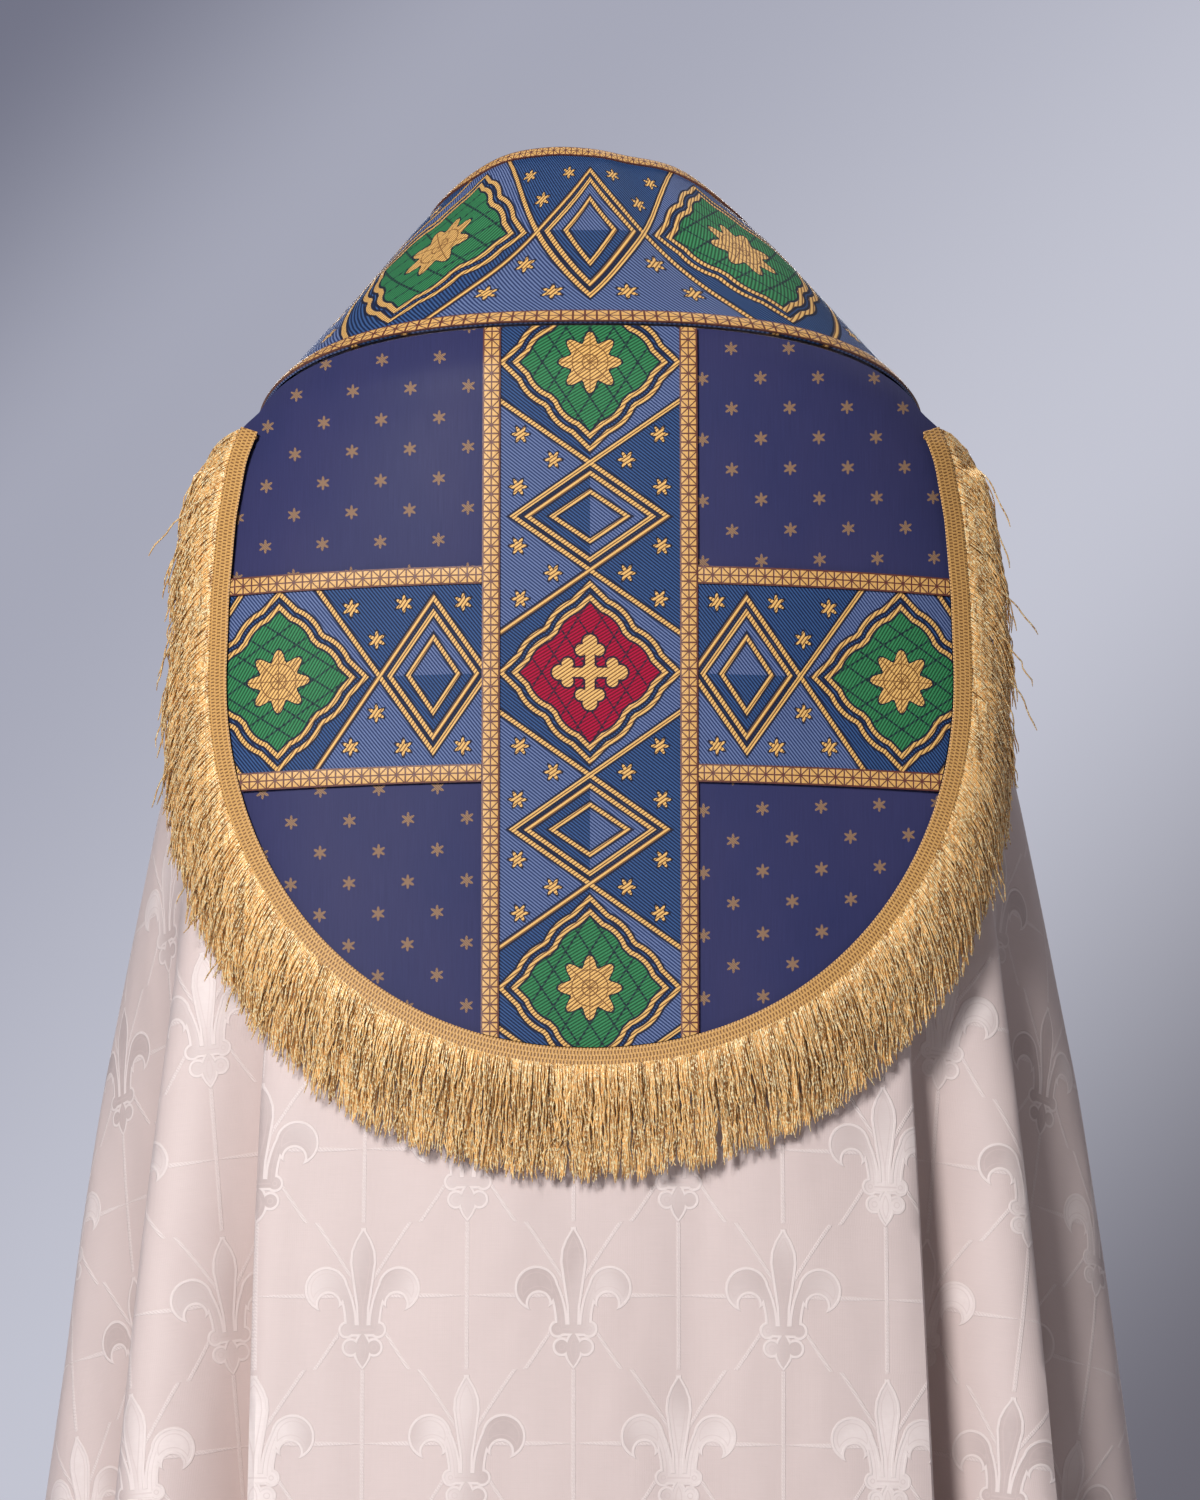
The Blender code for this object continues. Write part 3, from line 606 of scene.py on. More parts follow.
def hood_outline():
    """The hood's edge as (x, z), from its left top corner round the foot to the right one."""
    angles = np.linspace(0.0, math.pi / 2, OUTLINE_STEPS)
    across = HOOD_HALF_WIDTH * np.abs(np.cos(angles)) ** (2 / HOOD_ROUNDNESS)
    down = (HOOD_WIDEST - HOOD_FOOT) * np.sin(angles) ** (2 / HOOD_ROUNDNESS)
    sides = [(half_width, z) for z, half_width in HOOD_SIDES]
    right = np.array(sides + list(zip(across, HOOD_WIDEST - down)))
    return np.concatenate([right[:-1] * (-1, 1), right[::-1]])


def walk(line, count):
    """Points at even distances along a line."""
    lengths = lengths_of(line)
    return at_distance(line, lengths, np.linspace(0.0, lengths[-1], count))


@lru_cache(maxsize=1)
def heading_line():
    """The line that the fringe's heading follows, with normals that point away from the hood."""
    line = walk(hood_outline()[1:-1], HEADING_LINE_STEPS)
    for _ in range(HEADING_SMOOTHINGS):
        line[1:-1] = (line[:-2] + 2 * line[1:-1] + line[2:]) / 4
    along = np.gradient(line, axis=0)
    normals = np.stack([along[:, 1], -along[:, 0]], axis=1)
    normals /= np.linalg.norm(normals, axis=1, keepdims=True)
    outward = ((line - (0.0, HOOD_WIDEST)) * normals).sum(axis=1, keepdims=True) > 0
    return line, np.where(outward, normals, -normals)


# ---------------------------------------------------------------- making pieces


def deselect_all():
    if bpy.context.object is not None and bpy.context.object.mode != "OBJECT":
        bpy.ops.object.mode_set(mode="OBJECT")
    bpy.ops.object.select_all(action="DESELECT")


def only(obj):
    deselect_all()
    obj.select_set(True)
    bpy.context.view_layer.objects.active = obj


@contextmanager
def editing(sheet, whole=True):
    """Edit mode on one sheet, with all of it selected or with the selection as it is."""
    only(sheet)
    bpy.ops.object.mode_set(mode="EDIT")
    if whole:
        bpy.ops.mesh.select_all(action="SELECT")
    yield
    bpy.ops.object.mode_set(mode="OBJECT")


def cloth_grid(name, points, uvs):
    """A sheet of faces through rows of points."""
    rows, columns = points.shape[:2]
    deselect_all()
    bpy.ops.mesh.primitive_grid_add(x_subdivisions=columns - 1, y_subdivisions=rows - 1, size=2)
    sheet = bpy.context.object
    mesh = sheet.data
    sheet.name = mesh.name = name
    mesh.vertices.foreach_set("co", points.reshape(-1, 3).astype(np.float32).ravel())
    corners = np.empty(len(mesh.loops), np.int32)
    mesh.loops.foreach_get("vertex_index", corners)
    mesh.uv_layers.active.data.foreach_set("uv", uvs.reshape(-1, 2)[corners].astype(np.float32).ravel())
    mesh.update()
    return sheet


def from_wearer(centres):
    return centres * (1, 1, 0)


def from_back(centres):
    return np.zeros_like(centres) + (0, -1, 0)


def from_front(centres):
    return np.zeros_like(centres) + (0, 1, 0)


def face_out(sheet, outward):
    """Turns a sheet over if its faces look against the outward directions at their centres."""
    faces = sheet.data.polygons
    read = {}
    for field in ("center", "normal"):
        read[field] = np.empty(len(faces) * 3, np.float32)
        faces.foreach_get(field, read[field])
    if (outward(read["center"].reshape(-1, 3)) * read["normal"].reshape(-1, 3)).sum() < 0:
        with editing(sheet):
            bpy.ops.mesh.flip_normals()


def cut_sheet(sheet, point, normal, side):
    """Drops what lies beyond a plane on one side of the wearer."""
    mesh = sheet.data
    for vertex in mesh.vertices:
        vertex.select = vertex.co.x * side > 0
    for group in (mesh.polygons, mesh.edges):
        for element in group:
            element.select = all(mesh.vertices[at].select for at in element.vertices)
    with editing(sheet, whole=False):
        bpy.ops.mesh.bisect(plane_co=point, plane_no=normal, clear_outer=True, threshold=1e-6)


def settle(piece, finish, slot, *nodes):
    """Gives a finished piece its material and body, and hides the solids that it stands for. The slot is
    not used.
    """
    piece.data.materials.clear()
    piece.data.materials.append(finish_for(finish))
    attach(piece, BODY)
    if nodes:
        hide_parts(*nodes)
    return piece


def finish_cloth(sheet, outward, finish, node, slot=None, cuts=(), sharp=40):
    """Turns a sheet outwards, cuts it, gives it its wall and smooth faces, and settles it."""
    face_out(sheet, outward)
    for cut in cuts:
        cut_sheet(sheet, *cut)
    wall = sheet.modifiers.new("wall", "SOLIDIFY")
    wall.thickness = WALLS[finish]
    wall.offset = -1.0
    wall.use_even_offset = False
    only(sheet)
    bpy.ops.object.modifier_apply(modifier=wall.name)
    bpy.ops.object.shade_smooth_by_angle(angle=math.radians(sharp))
    return settle(sheet, finish, slot or finish, node)


# ---------------------------------------------------------------- material maths


def math_step(operation, swapped=False):
    """A Python operator that adds one Math node."""

    def step(reading, other):
        values = (other, reading) if swapped else (reading, other)
        return reading.finish.math(operation, *values)

    return step


class Reading:
    """A number that varies over a surface. An expression on readings adds its Math nodes."""

    def __init__(self, finish, socket):
        self.finish = finish
        self.socket = socket

    __add__, __radd__ = math_step("ADD"), math_step("ADD", True)
    __sub__, __rsub__ = math_step("SUBTRACT"), math_step("SUBTRACT", True)
    __mul__, __rmul__ = math_step("MULTIPLY"), math_step("MULTIPLY", True)
    __truediv__, __rtruediv__ = math_step("DIVIDE"), math_step("DIVIDE", True)
    power = math_step("POWER")

    def __neg__(self):
        return self * -1.0

    def __abs__(self):
        return self.finish.math("ABSOLUTE", self)

    def squared(self):
        return self * self

    def rounded(self):
        return self.finish.math("ROUND", self)

    def odd(self):
        """1 on odd whole numbers and 0 on even ones."""
        return self.finish.math("PINGPONG", self, 1.0)

    def wrapped(self, half):
        """The distance from the nearest whole multiple of 2 * half, from -half to half."""
        return self.finish.math("WRAP", self, half, -half)

    def below(self, edge, soft):
        """1 where the reading is less than edge, 0 above it, soft over a width."""
        return self.finish.node(
            "ShaderNodeMapRange", {"interpolation_type": "SMOOTHSTEP"},
            {"Value": self, "From Min": edge - soft / 2, "From Max": edge + soft / 2,
             "To Min": 1.0, "To Max": 0.0},
        )

    def within(self, centre, half, soft):
        """1 within half of a centre, 0 further away."""
        return abs(self - centre).below(half, soft)


def lowest(first, *others):
    for other in others:
        first = first.finish.math("MINIMUM", first, other)
    return first


def highest(first, *others):
    for other in others:
        first = first.finish.math("MAXIMUM", first, other)
    return first


class Finish:
    """The nodes of one material, or of the world, that make its colour and relief."""

    def __init__(self, owner):
        owner.use_nodes = True
        self.owner = owner
        self.tree = owner.node_tree

    def give(self, socket, value):
        """Links a reading to a socket, or sets its value."""
        if isinstance(value, Reading):
            self.tree.links.new(value.socket, socket)
        elif socket.type == "RGBA":
            socket.default_value = (*value, 1.0)
        else:
            socket.default_value = value

    def node(self, kind, settings=None, values=None, output=0):
        """Adds a node: its settings first, then the values or links of its sockets."""
        made = self.tree.nodes.new(kind)
        for name, value in (settings or {}).items():
            setattr(made, name, value)
        for name, value in (values or {}).items():
            self.give(made.inputs[name], value)
        return Reading(self, made.outputs[output])

    def ramp(self, place, stops, interpolation="LINEAR"):
        """A colour, or a grey for a number, at each place between 0 and 1."""
        colour = self.node("ShaderNodeValToRGB", {}, {0: place})
        ramp = colour.socket.node.color_ramp
        ramp.interpolation = interpolation
        while len(ramp.elements) < len(stops):
            ramp.elements.new(0.5)
        for element, (at, value) in zip(ramp.elements, stops):
            element.position = at
            element.color = (*((value,) * 3 if isinstance(value, float) else value), 1.0)
        return colour

    def math(self, operation, *values):
        return self.node("ShaderNodeMath", {"operation": operation}, dict(enumerate(values)))

    def vector_math(self, operation, first, second, output=0):
        return self.node("ShaderNodeVectorMath", {"operation": operation}, {0: first, 1: second}, output)

    def uv_vector(self):
        return self.node("ShaderNodeUVMap", {"uv_map": "UVMap"})

    def uv(self):
        """The cloth's own place in millimetres: along and across, or across and up."""
        x, y = self.split(self.uv_vector())
        return x * 1000.0, y * 1000.0

    def split(self, vector):
        parts = self.node("ShaderNodeSeparateXYZ", {}, {0: vector}).socket.node
        return tuple(Reading(self, parts.outputs[at]) for at in (0, 1))

    def place(self, x, y, z=0.0):
        return self.node("ShaderNodeCombineXYZ", {}, {0: x, 1: y, 2: z})

    def away(self, place, x, y):
        """The distance of a place from a fixed point."""
        return self.vector_math("DISTANCE", place, (x, y, 0.0), "Value")

    def noise(self, scale, detail=2.0, roughness=0.5, place=None):
        """Noise over the cloth's own place, or another one, stretched along each axis."""
        stretched = self.vector_math("MULTIPLY", place or self.uv_vector(), scale)
        values = {"Vector": stretched, "Scale": 1.0, "Detail": detail, "Roughness": roughness}
        return self.node("ShaderNodeTexNoise", {}, values)

    def mix(self, share, first, second):
        """A colour between two, by a share from 0 to 1."""
        return self.node("ShaderNodeMix", {"data_type": "RGBA"}, {0: share, 6: first, 7: second}, 2)

    def shaded(self, colour, share):
        """A colour made lighter or darker by a share around 1."""
        return self.vector_math("MULTIPLY", colour, self.place(share, share, share))

    def bump(self, height, distance, strength=1.0, below=None):
        values = {"Height": height, "Distance": distance, "Strength": strength}
        return self.node("ShaderNodeBump", {}, {**values, "Normal": below} if below else values)

    def made(self, shader, values):
        """Links or sets the sockets of a shader, and gives the finished material or world."""
        for name, value in values.items():
            self.give(self.tree.nodes[shader].inputs[name], value)
        return self.owner

    def surface(self, specular, colour, roughness, normal, others=None):
        values = {"Specular IOR Level": specular, "Base Color": colour, "Roughness": roughness}
        return self.made("Principled BSDF", {**values, "Normal": normal, **(others or {})})


# ---------------------------------------------------------------- finishes

# All of a finish's sizes are in millimetres.
DAMASK_COLUMN = 65.5
DAMASK_ROW = 93.0
DAMASK_SHIFT = (10.1, 248.5)
LILY_NARROWING = (1.08, 1.03)
LILY_PETAL = ((0.0, 0.28), (0.25, 0.36), (0.5, 0.68), (0.69, 0.9), (0.8, 0.82), (0.9, 0.5), (1.0, 0.0))
MEDALLION_PITCH = 100.0
ORPHREY_STARS = ((63.5, 23.5), (47.0, 44.5), (81.0, 46.0))
ORPHREY_STAR = 5.2
SATIN_STAR = 4.3
SATIN_COLUMN = 18.8
SATIN_ROW = 19.8


def twill(x, y, lean, pitch):
    """Fine slanted ribs over a cloth, from -1 in the grooves to 1 on the ribs."""
    return x.finish.math("SINE", (x + y * lean) * (2 * math.pi / pitch))


def around(x, y):
    """The direction and the distance of a place from the middle of a motif."""
    return x.finish.math("ARCTAN2", y, x), x.finish.away(x.finish.place(x, y), 0.0, 0.0)


def hexagram(x, y, radius):
    """Less than 0 inside a star of six narrow points."""
    angle, out = around(x, y)
    point = abs(x.finish.math("SINE", angle * 3.0)).power(2.2)
    return out - point * (radius * 0.60) - radius * 0.46


def lily(finish, x, y):
    """Less than 0 inside the damask's lily, which stands on its own middle."""
    across = abs(x)
    place = finish.place(across, y)
    petal = highest(across - finish.ramp((y + 24.0) / 66.4, LILY_PETAL) * 8.0, abs(y - 9.0) - 33.5)
    lobe = highest(finish.away(place, 24.5, 4.5) - 12.9, 8.7 - finish.away(place, 23.0, -5.5))
    stem = highest(abs(across - ((y + 20.0).squared() * 0.0086 + 8.0)) - 2.5, abs(y + 8.0) - 15.0)
    bar = highest(abs(y + 22.0) - 2.8, across - 10.0)
    knob = finish.away(place, 10.5, -22.0) - 4.0
    foot = highest(across - 4.6 + (y + 35.0).squared() * 0.038, abs(y + 35.0) - 11.0)
    leaf = finish.away(place, 7.8, -33.5) - 4.4
    return lowest(petal, lobe, stem, bar, knob, foot, leaf)


def damask(finish, looks):
    """Cream damask: silver lilies in a corded trellis on a softly slubbed ground, with painted sheen on the
    lilies and painted shade deep in the folds.
    """
    x, y = finish.uv()
    x, y = x + DAMASK_SHIFT[0], y + DAMASK_SHIFT[1]
    row = (y / DAMASK_ROW).rounded()
    x = (x + row.odd() * DAMASK_COLUMN).wrapped(DAMASK_COLUMN)
    y = y - row * DAMASK_ROW
    motif = lily(finish, x * LILY_NARROWING[0], y * LILY_NARROWING[1])
    inside = motif.below(0.0, 0.7)
    outline = motif.within(0.9, 0.9, 0.5)
    inner = motif.within(-2.6, 0.35, 0.4)

    across, up = abs(x), abs(y)
    bent = finish.math("SINE", across * (math.pi / DAMASK_COLUMN)) * 2.6
    slanted = abs(across * 0.818 - up * 0.576 + bent)
    cord = lowest(DAMASK_COLUMN - across, up - bent * 0.5 + 1.0, slanted) - 1.15
    cord_twist = twill(x, y, 1.0, 2.2) * 0.3 + 0.7
    trellis = cord.below(0.0, 0.6) * (1.0 - motif.below(2.0, 0.5)) * cord_twist

    slub = finish.noise((60.0, 1900.0, 1.0), 3.0, 0.6)
    floss = finish.noise((240.0, 240.0, 1.0))
    # Painted sheen: broad random patches where the lilies turn lighter, towards the cord colour, as satin
    # would under the light.
    turned = finish.noise((13.0, 7.0, 1.0), 1.0)
    lily_painted_sheen = finish.mix((turned - 0.40) * 4.5, looks.silver, looks.cord)
    colour = finish.mix(finish.noise((9.0, 7.0, 1.0), 3.0), looks.cream, looks.cream_shade)
    colour = finish.mix(inside * (floss * 0.5 + 0.62), colour, lily_painted_sheen)
    colour = finish.mix(outline * 0.75, colour, looks.cord)
    colour = finish.mix(trellis * 0.75, colour, looks.cord)
    colour = finish.mix(inner * 0.5, colour, looks.cream_shade)
    # Painted shade: the cloth darkens towards the painted fold shade colour where the folds are deep.
    trough = finish.node("ShaderNodeAttribute", {"attribute_name": "trough"}, output="Fac").power(1.4)
    colour = finish.mix(trough * 0.80, colour, looks.painted_fold_shade)
    colour = finish.shaded(colour, slub * 0.10 + 0.945)

    ribs = twill(x, y, 0.0, 1.1) * 0.04 * (1.0 - inside)
    height = inside * 0.30 + highest(outline, trellis) * 0.8 + slub * 0.16 + ribs
    soft = finish.bump(finish.noise((13.0, 6.0, 1.0)), 0.012, 0.5)
    return finish.surface(
        0.45, colour, 0.60 - inside * 0.17, finish.bump(height, 0.0005, 0.75, soft),
        {"Sheen Weight": 0.12, "Sheen Roughness": 0.45},
    )


def quatrefoil(finish, along, across):
    """Less than 0 inside a four-lobed medallion with a point between its lobes and the strap."""
    place = finish.place(along, across)
    lobes = lowest(finish.away(place, 18.0, 0.0) - 22.0, finish.away(place, 0.0, 18.0) - 22.0)
    return lowest(lobes, (along + across - 46.0) * 0.7071)


def lozenge(along, across, half_along, half_across):
    size = math.hypot(half_along, half_across)
    return along * (half_across / size) + across * (half_along / size) - half_along * half_across / size


def budded_cross(finish, along, across):
    """Less than 0 inside an equal-armed cross with rounded, budded ends."""
    far, near = highest(along, across), lowest(along, across)
    place = finish.place(far, near)
    arm = highest(near - 2.9, far - 17.0)
    bud = lowest(finish.away(place, 19.5, 0.0) - 4.6, finish.away(place, 14.3, 5.6) - 3.7)
    return lowest(arm, bud, finish.away(place, 0.0, 0.0) - 5.4)


def rosette(finish, along, across):
    """Less than 0 inside an eight-petalled rose, and how near its veins a place is."""
    angle, out = around(along, across)
    petals = out - finish.math("COSINE", angle * 8.0) * 3.6 - 16.6
    vein = abs(finish.math("SINE", angle * 4.0)) * out * 0.25 - 0.30
    return petals, lowest(vein, abs(out - 5.0) - 0.4, abs(out - 11.5) - 0.35)


def orphrey(finish, looks):
    """Blue orphrey cloth: quatrefoils, lozenges and straps in gold on two blues."""
    u, v = finish.uv()
    a, b = abs(u.wrapped(MEDALLION_PITCH)), abs(v)
    far = MEDALLION_PITCH - a
    medal = quatrefoil(finish, a, b)
    outer, inner = lozenge(far, b, 28.0, 40.0), lozenge(far, b, 16.0, 24.0)
    cell = abs(a - 65.5) * 0.8192 - b * 0.5735
    strap = highest(abs(cell) - 1.3, 9.6 - medal)
    frames = lowest(abs(medal - 1.5) - 1.35, abs(medal - 7.6) - 1.3)
    stars = lowest(*(hexagram(a - along, b - across, ORPHREY_STAR) for along, across in ORPHREY_STARS))
    red = (abs(u) - MEDALLION_PITCH).below(0.0, 0.01)
    rose, veins = rosette(finish, a, b)
    motif = rose + (budded_cross(finish, a, b) - rose) * red
    gold = lowest(frames, abs(outer) - 1.3, abs(inner) - 1.2, strap, stars, motif)
    gold_share = gold.below(0.0, 0.25)
    outline = gold.within(0.65, 0.65, 0.3)
    diaper = lowest(abs((a + b * 1.5).wrapped(11.5)), abs((a - b * 1.5).wrapped(11.5))) * 0.555 - 0.60
    in_medal = medal.below(0.0, 0.2)
    turned = highest((-cell).below(0.0, 0.3), outer.below(0.0, 0.3) - inner.below(0.0, 0.3))
    light_side = abs(turned - v.below(0.0, 0.3))

    blue_ribs = twill(u, v, 0.8, 2.3)
    level_ribs = twill(u, v, -0.6, 2.2)
    gold_ribs = twill(u, v, -0.7, 2.5)
    light = finish.mix(blue_ribs * 0.8 + 0.42, looks.light_blue, looks.pale_thread)
    dark = finish.mix(blue_ribs * 0.8 + 0.40, looks.dark_blue, looks.mid_blue)
    colour = finish.mix(light_side, dark, light)
    colour = finish.mix(v.within(0.0, 0.7, 0.5) * (1.0 - turned) * 0.75, colour, looks.ink)
    field = finish.shaded(finish.mix(red, looks.green, looks.red), level_ribs * 0.62 + 0.98)
    stitch = twill(a, b, 0.0, 3.1) * 0.25 + 0.75
    field = finish.mix(diaper.below(0.0, 0.25) * stitch, field, looks.ink)
    colour = finish.mix(in_medal, colour, field)
    colour = finish.mix(medal.within(4.55, 1.7, 0.2), colour, dark)
    colour = finish.mix(outline * 0.95, colour, looks.ink)
    thread = finish.mix(gold_ribs * 1.1 + 0.95, looks.gold_brown, looks.gold)
    thread = finish.mix(veins.below(0.0, 0.3) * in_medal * (1.0 - red) * 0.85, thread, looks.gold_brown)
    colour = finish.mix(gold_share, colour, thread)
    colour = finish.shaded(colour, finish.noise((35.0, 35.0, 1.0), 3.0) * 0.16 + 0.92)

    ribs = blue_ribs * (1.0 - in_medal) + level_ribs * in_medal
    height = ribs * (1.0 - gold_share) * 0.12 + gold_ribs * gold_share * 0.18 + gold_share * 0.45
    return finish.surface(0.16, colour, 0.62 - gold_share * 0.14, finish.bump(height, 0.0004, 0.6))


def gallon(finish, looks):
    """Gold gallon with plum lines: squares, edges and diagonals over a woven gold ground."""
    u, v = finish.uv()
    across = abs(v)
    lines = lowest(
        abs(u.wrapped(2.8)) - 0.50, across - 0.42, abs(across - 5.3) - 0.55,
        abs(abs(u.wrapped(5.6)) - across) * 0.7071 - 0.36,
    )
    line = lines.below(0.0, 0.3)
    speckle = finish.noise((1500.0, 1500.0, 1.0), 1.0)
    ground = finish.mix(speckle * 2.0 - 0.4, looks.gold_shade, looks.gold)
    ground = finish.mix((speckle - 0.5).squared() * 4.0, ground, looks.gold_brown)
    colour = finish.mix(line * 0.95, ground, looks.plum)
    height = (1.0 - line) * 0.5 + twill(u, v, 0.0, 0.8) * 0.08 + speckle * 0.3
    return finish.surface(0.5, colour, 0.50 - speckle * 0.12, finish.bump(height, 0.0004, 0.7))


def star_satin(finish, looks):
    """Navy satin with broad warmer patches of painted sheen, and rows of small bronze stars."""
    x, y = finish.uv()
    y = y + 4.0 - x * 0.03
    row = (y / SATIN_ROW).rounded()
    across = (x + row.odd() * SATIN_COLUMN + 3.0).wrapped(SATIN_COLUMN)
    star = hexagram(across, y - row * SATIN_ROW, SATIN_STAR).below(0.0, 0.3)
    slub = finish.noise((1400.0, 40.0, 1.0), 3.0, 0.6)
    # Painted sheen: broad random patches of warmer navy over the satin.
    ground = finish.mix(finish.noise((14.0, 9.0, 1.0), 3.0), looks.navy, looks.navy_painted_sheen)
    ground = finish.shaded(ground, slub * 0.35 + 0.82)
    thread = finish.mix(twill(x, y, 1.0, 1.5) * 0.4 + 0.5, looks.bronze_shade, looks.bronze)
    colour = finish.mix(star, ground, thread)
    return finish.surface(
        0.08, colour, 0.52 - slub * 0.08, finish.bump(star * 0.5 + slub * 0.22, 0.0003, 0.5)
    )


def heading_weave(finish, looks):
    """The fringe's heading: gold with rows of small brown bars across it."""
    u, v = finish.uv()
    step = (v / 3.0).rounded().odd()
    bars = twill(u + step * 1.1, v, 0.0, 2.2).below(-0.35, 0.5) * abs(v.wrapped(1.5)).below(1.05, 0.4)
    speckle = finish.noise((1300.0, 900.0, 1.0), 1.0)
    ground = finish.mix(speckle * 0.7 + 0.1, looks.heading_gold, looks.gold)
    colour = finish.mix(bars * 0.9, ground, looks.gold_brown)
    height = (1.0 - bars) * 0.5 + speckle * 0.2
    return finish.surface(0.45, colour, 0.52 - speckle * 0.1, finish.bump(height, 0.0005, 0.7))


def fringe_thread(finish, looks):
    """Twisted gold thread, each length a little lighter or browner than the next, with painted glints of
    light gold.
    """
    place = finish.node("ShaderNodeTexCoord", output="Object")
    tuft = finish.noise((300.0, 300.0, 9.0), 2.0, 0.6, place)
    glint = finish.noise((800.0, 800.0, 560.0), 1.0, 0.5, place)
    body = finish.mix((tuft - 0.33) * 4.2, looks.thread_brown, looks.thread_gold)
    # Painted glints: light gold flecks where the glint noise is high; the same noise also gives the thread
    # its relief and roughness.
    colour = finish.mix((glint - 0.47) * 6.0, body, looks.painted_glint_gold)
    relief = finish.bump(glint, 0.0004, 0.7)
    return finish.surface(0.5, colour, 0.46 - glint * 0.2, relief, {"Metallic": 0.12})


FINISHES = {
    "damask": ("cream damask", damask),
    "orphrey": ("blue orphrey", orphrey),
    "gallon": ("gold gallon", gallon),
    "star_satin": ("navy star satin", star_satin),
    "heading": ("gold heading", heading_weave),
    "thread": ("gold fringe thread", fringe_thread),
}


@lru_cache(maxsize=None)
def finish_for(name):
    """The material of a kind of cloth or thread, made once."""
    title, make = FINISHES[name]
    return make(Finish(bpy.data.materials.new(title)), bpy.context.scene.cope_looks)


# ---------------------------------------------------------------- cape and bands


def make_cape():
    points, normals, flat = cape_surface()
    cape = cloth_grid("cape", points + normals * CAPE_THICKNESS, flat)
    # The painted shade's share at each point, deeper in the folds, kept on the cape for its material.
    shares = painted_fold_shade_shares(points).ravel().astype(np.float32)
    cape.data.attributes.new("trough", "FLOAT", "POINT").data.foreach_set("value", shares)
    finish_cloth(cape, from_wearer, "damask", "cape_body")


def crown(share):
    """How far a gallon's middle stands above its edges, by the share of its width."""
    return bpy.context.scene.cope_trim.gallon_crown * (1 - (2 * share - 1) ** 4)


def neck_rise(points):
    """How far the neck band stands up off the cape, less towards the front."""
    back = (NECK_RISE_FRONT - points[..., 1]) / (NECK_RISE_FRONT - NECK_RISE_BACK)
    return np.interp(band_distances(), BAND_ROWS, NECK_RISE)[:, None] * np.clip(back, 0.0, 1.0)


def mitre(points, side, keep_neck):
    """The cut through the neck corner of one front, on the line that halves the corner."""
    last = points.shape[1] - 1
    corner = Vector(points[0, 0 if side < 0 else last])
    inner = Vector(points[BAND_COUNT, BAND_COUNT if side < 0 else last - BAND_COUNT])
    outward = Vector(((corner.x + inner.x) / 2, (corner.y + inner.y) / 2, 0.0))
    normal = (inner - corner).cross(outward).normalized()
    if (normal.z > 0) == keep_neck:
        normal = -normal
    return (corner + inner) / 2 - normal * SEAM_GAP / 2, normal, side


def make_band(names, nodes, points, normals, u, v, cuts, rise=0.0, turned=False):
    """A band and the gallons on its two edges. The first axis of its points crosses the band."""
    parts = (
        (slice(0, BAND_COUNT + 1), BAND_LIFT, "orphrey"),
        (slice(0, BAND_STEPS[0] + 1), BAND_GALLON_LIFT, "gallon"),
        (slice(BAND_COUNT - BAND_STEPS[-1], BAND_COUNT + 1), BAND_GALLON_LIFT, "gallon"),
    )
    uvs = np.stack(np.meshgrid(u, v), axis=2)
    rise = np.broadcast_to(rise, points.shape[:2])
    made = []
    for name, node, (part, lift, kind) in zip(names, nodes, parts):
        place = uvs[part].copy()
        raised = np.full(place.shape[:2], lift)
        if kind == "gallon":
            share = np.linspace(0, 1, len(place))[:, None]
            raised = raised + crown(share)
            place[..., 1] = (share - 0.5) * GALLON_WIDTH
        grid = points[part] + normals[part] * (raised + rise[part])[..., None]
        if turned:
            grid, place = grid.swapaxes(0, 1), place.swapaxes(0, 1)
        made.append(finish_cloth(cloth_grid(name, grid, place), from_wearer, kind, node, cuts=cuts))
    return made


def make_neck_band():
    points, normals, _ = cape_surface()
    rows = slice(0, BAND_COUNT + 1)
    along = lengths_of(points[BAND_COUNT // 2])
    along -= along[len(along) // 2]
    made = make_band(
        ("neck_band", "neck_gallon_top", "neck_gallon_foot"),
        ("neck_orphrey", "neck_gallon_upper", "neck_gallon_lower"),
        points[rows], normals[rows], along + NECK_PHASE, BAND_WIDTH / 2 - band_distances(),
        [mitre(points, side, True) for _, side in SIDES], neck_rise(points[rows]),
    )


def make_front_band(name, side):
    points, normals, _ = cape_surface()
    band, out = (array[:, ::-side][:, : BAND_COUNT + 1].swapaxes(0, 1) for array in (points, normals))
    down = lengths_of(band[BAND_COUNT // 2])
    made = make_band(
        (f"front_band_{name}", f"front_gallon_edge_{name}", f"front_gallon_inner_{name}"),
        (f"front_orphrey_{name}", f"front_gallon_{name}_edge", f"front_gallon_{name}_inner"),
        band, out, FRONT_PHASE - down, (band_distances() - BAND_WIDTH / 2) * side,
        [mitre(points, side, False)], turned=True,
    )


# ---------------------------------------------------------------- hood and its cross


def make_hood():
    """The hood's satin, in rings from its middle out to its edge."""
    side = hood_outline()
    side[[0, -1], 1] = hood_top(side[[0, -1], 0])
    across = np.linspace(side[-1, 0], side[0, 0], HOOD_TOP_STEPS)
    top = np.stack([across, hood_top(across)], axis=1)
    edge = walk(np.concatenate([side, top[1:]]), HOOD_EDGE_STEPS)
    middle = np.array([0.0, HOOD_WIDEST])
    flat = middle + np.linspace(0.0, 1.0, HOOD_RINGS)[:, None, None] * (edge - middle)
    ground = cloth_grid("hood", hood_points(flat[..., 0], flat[..., 1], HOOD_LIFT), flat)
    with editing(ground):
        bpy.ops.mesh.remove_doubles(threshold=1e-5)
    return finish_cloth(ground, from_back, "star_satin", "hood_ground")


@lru_cache(maxsize=1)
def heading_inner():
    line, normals = heading_line()
    return line - normals * (HEADING_WIDTH + SEAM_GAP)


def foot_at(x):
    """How low the heading's inner edge is at x, near the hood's foot."""
    line = heading_inner()
    low = line[line[:, 1] < FOOT_LEVEL]
    return np.interp(x, low[:, 0], low[:, 1])


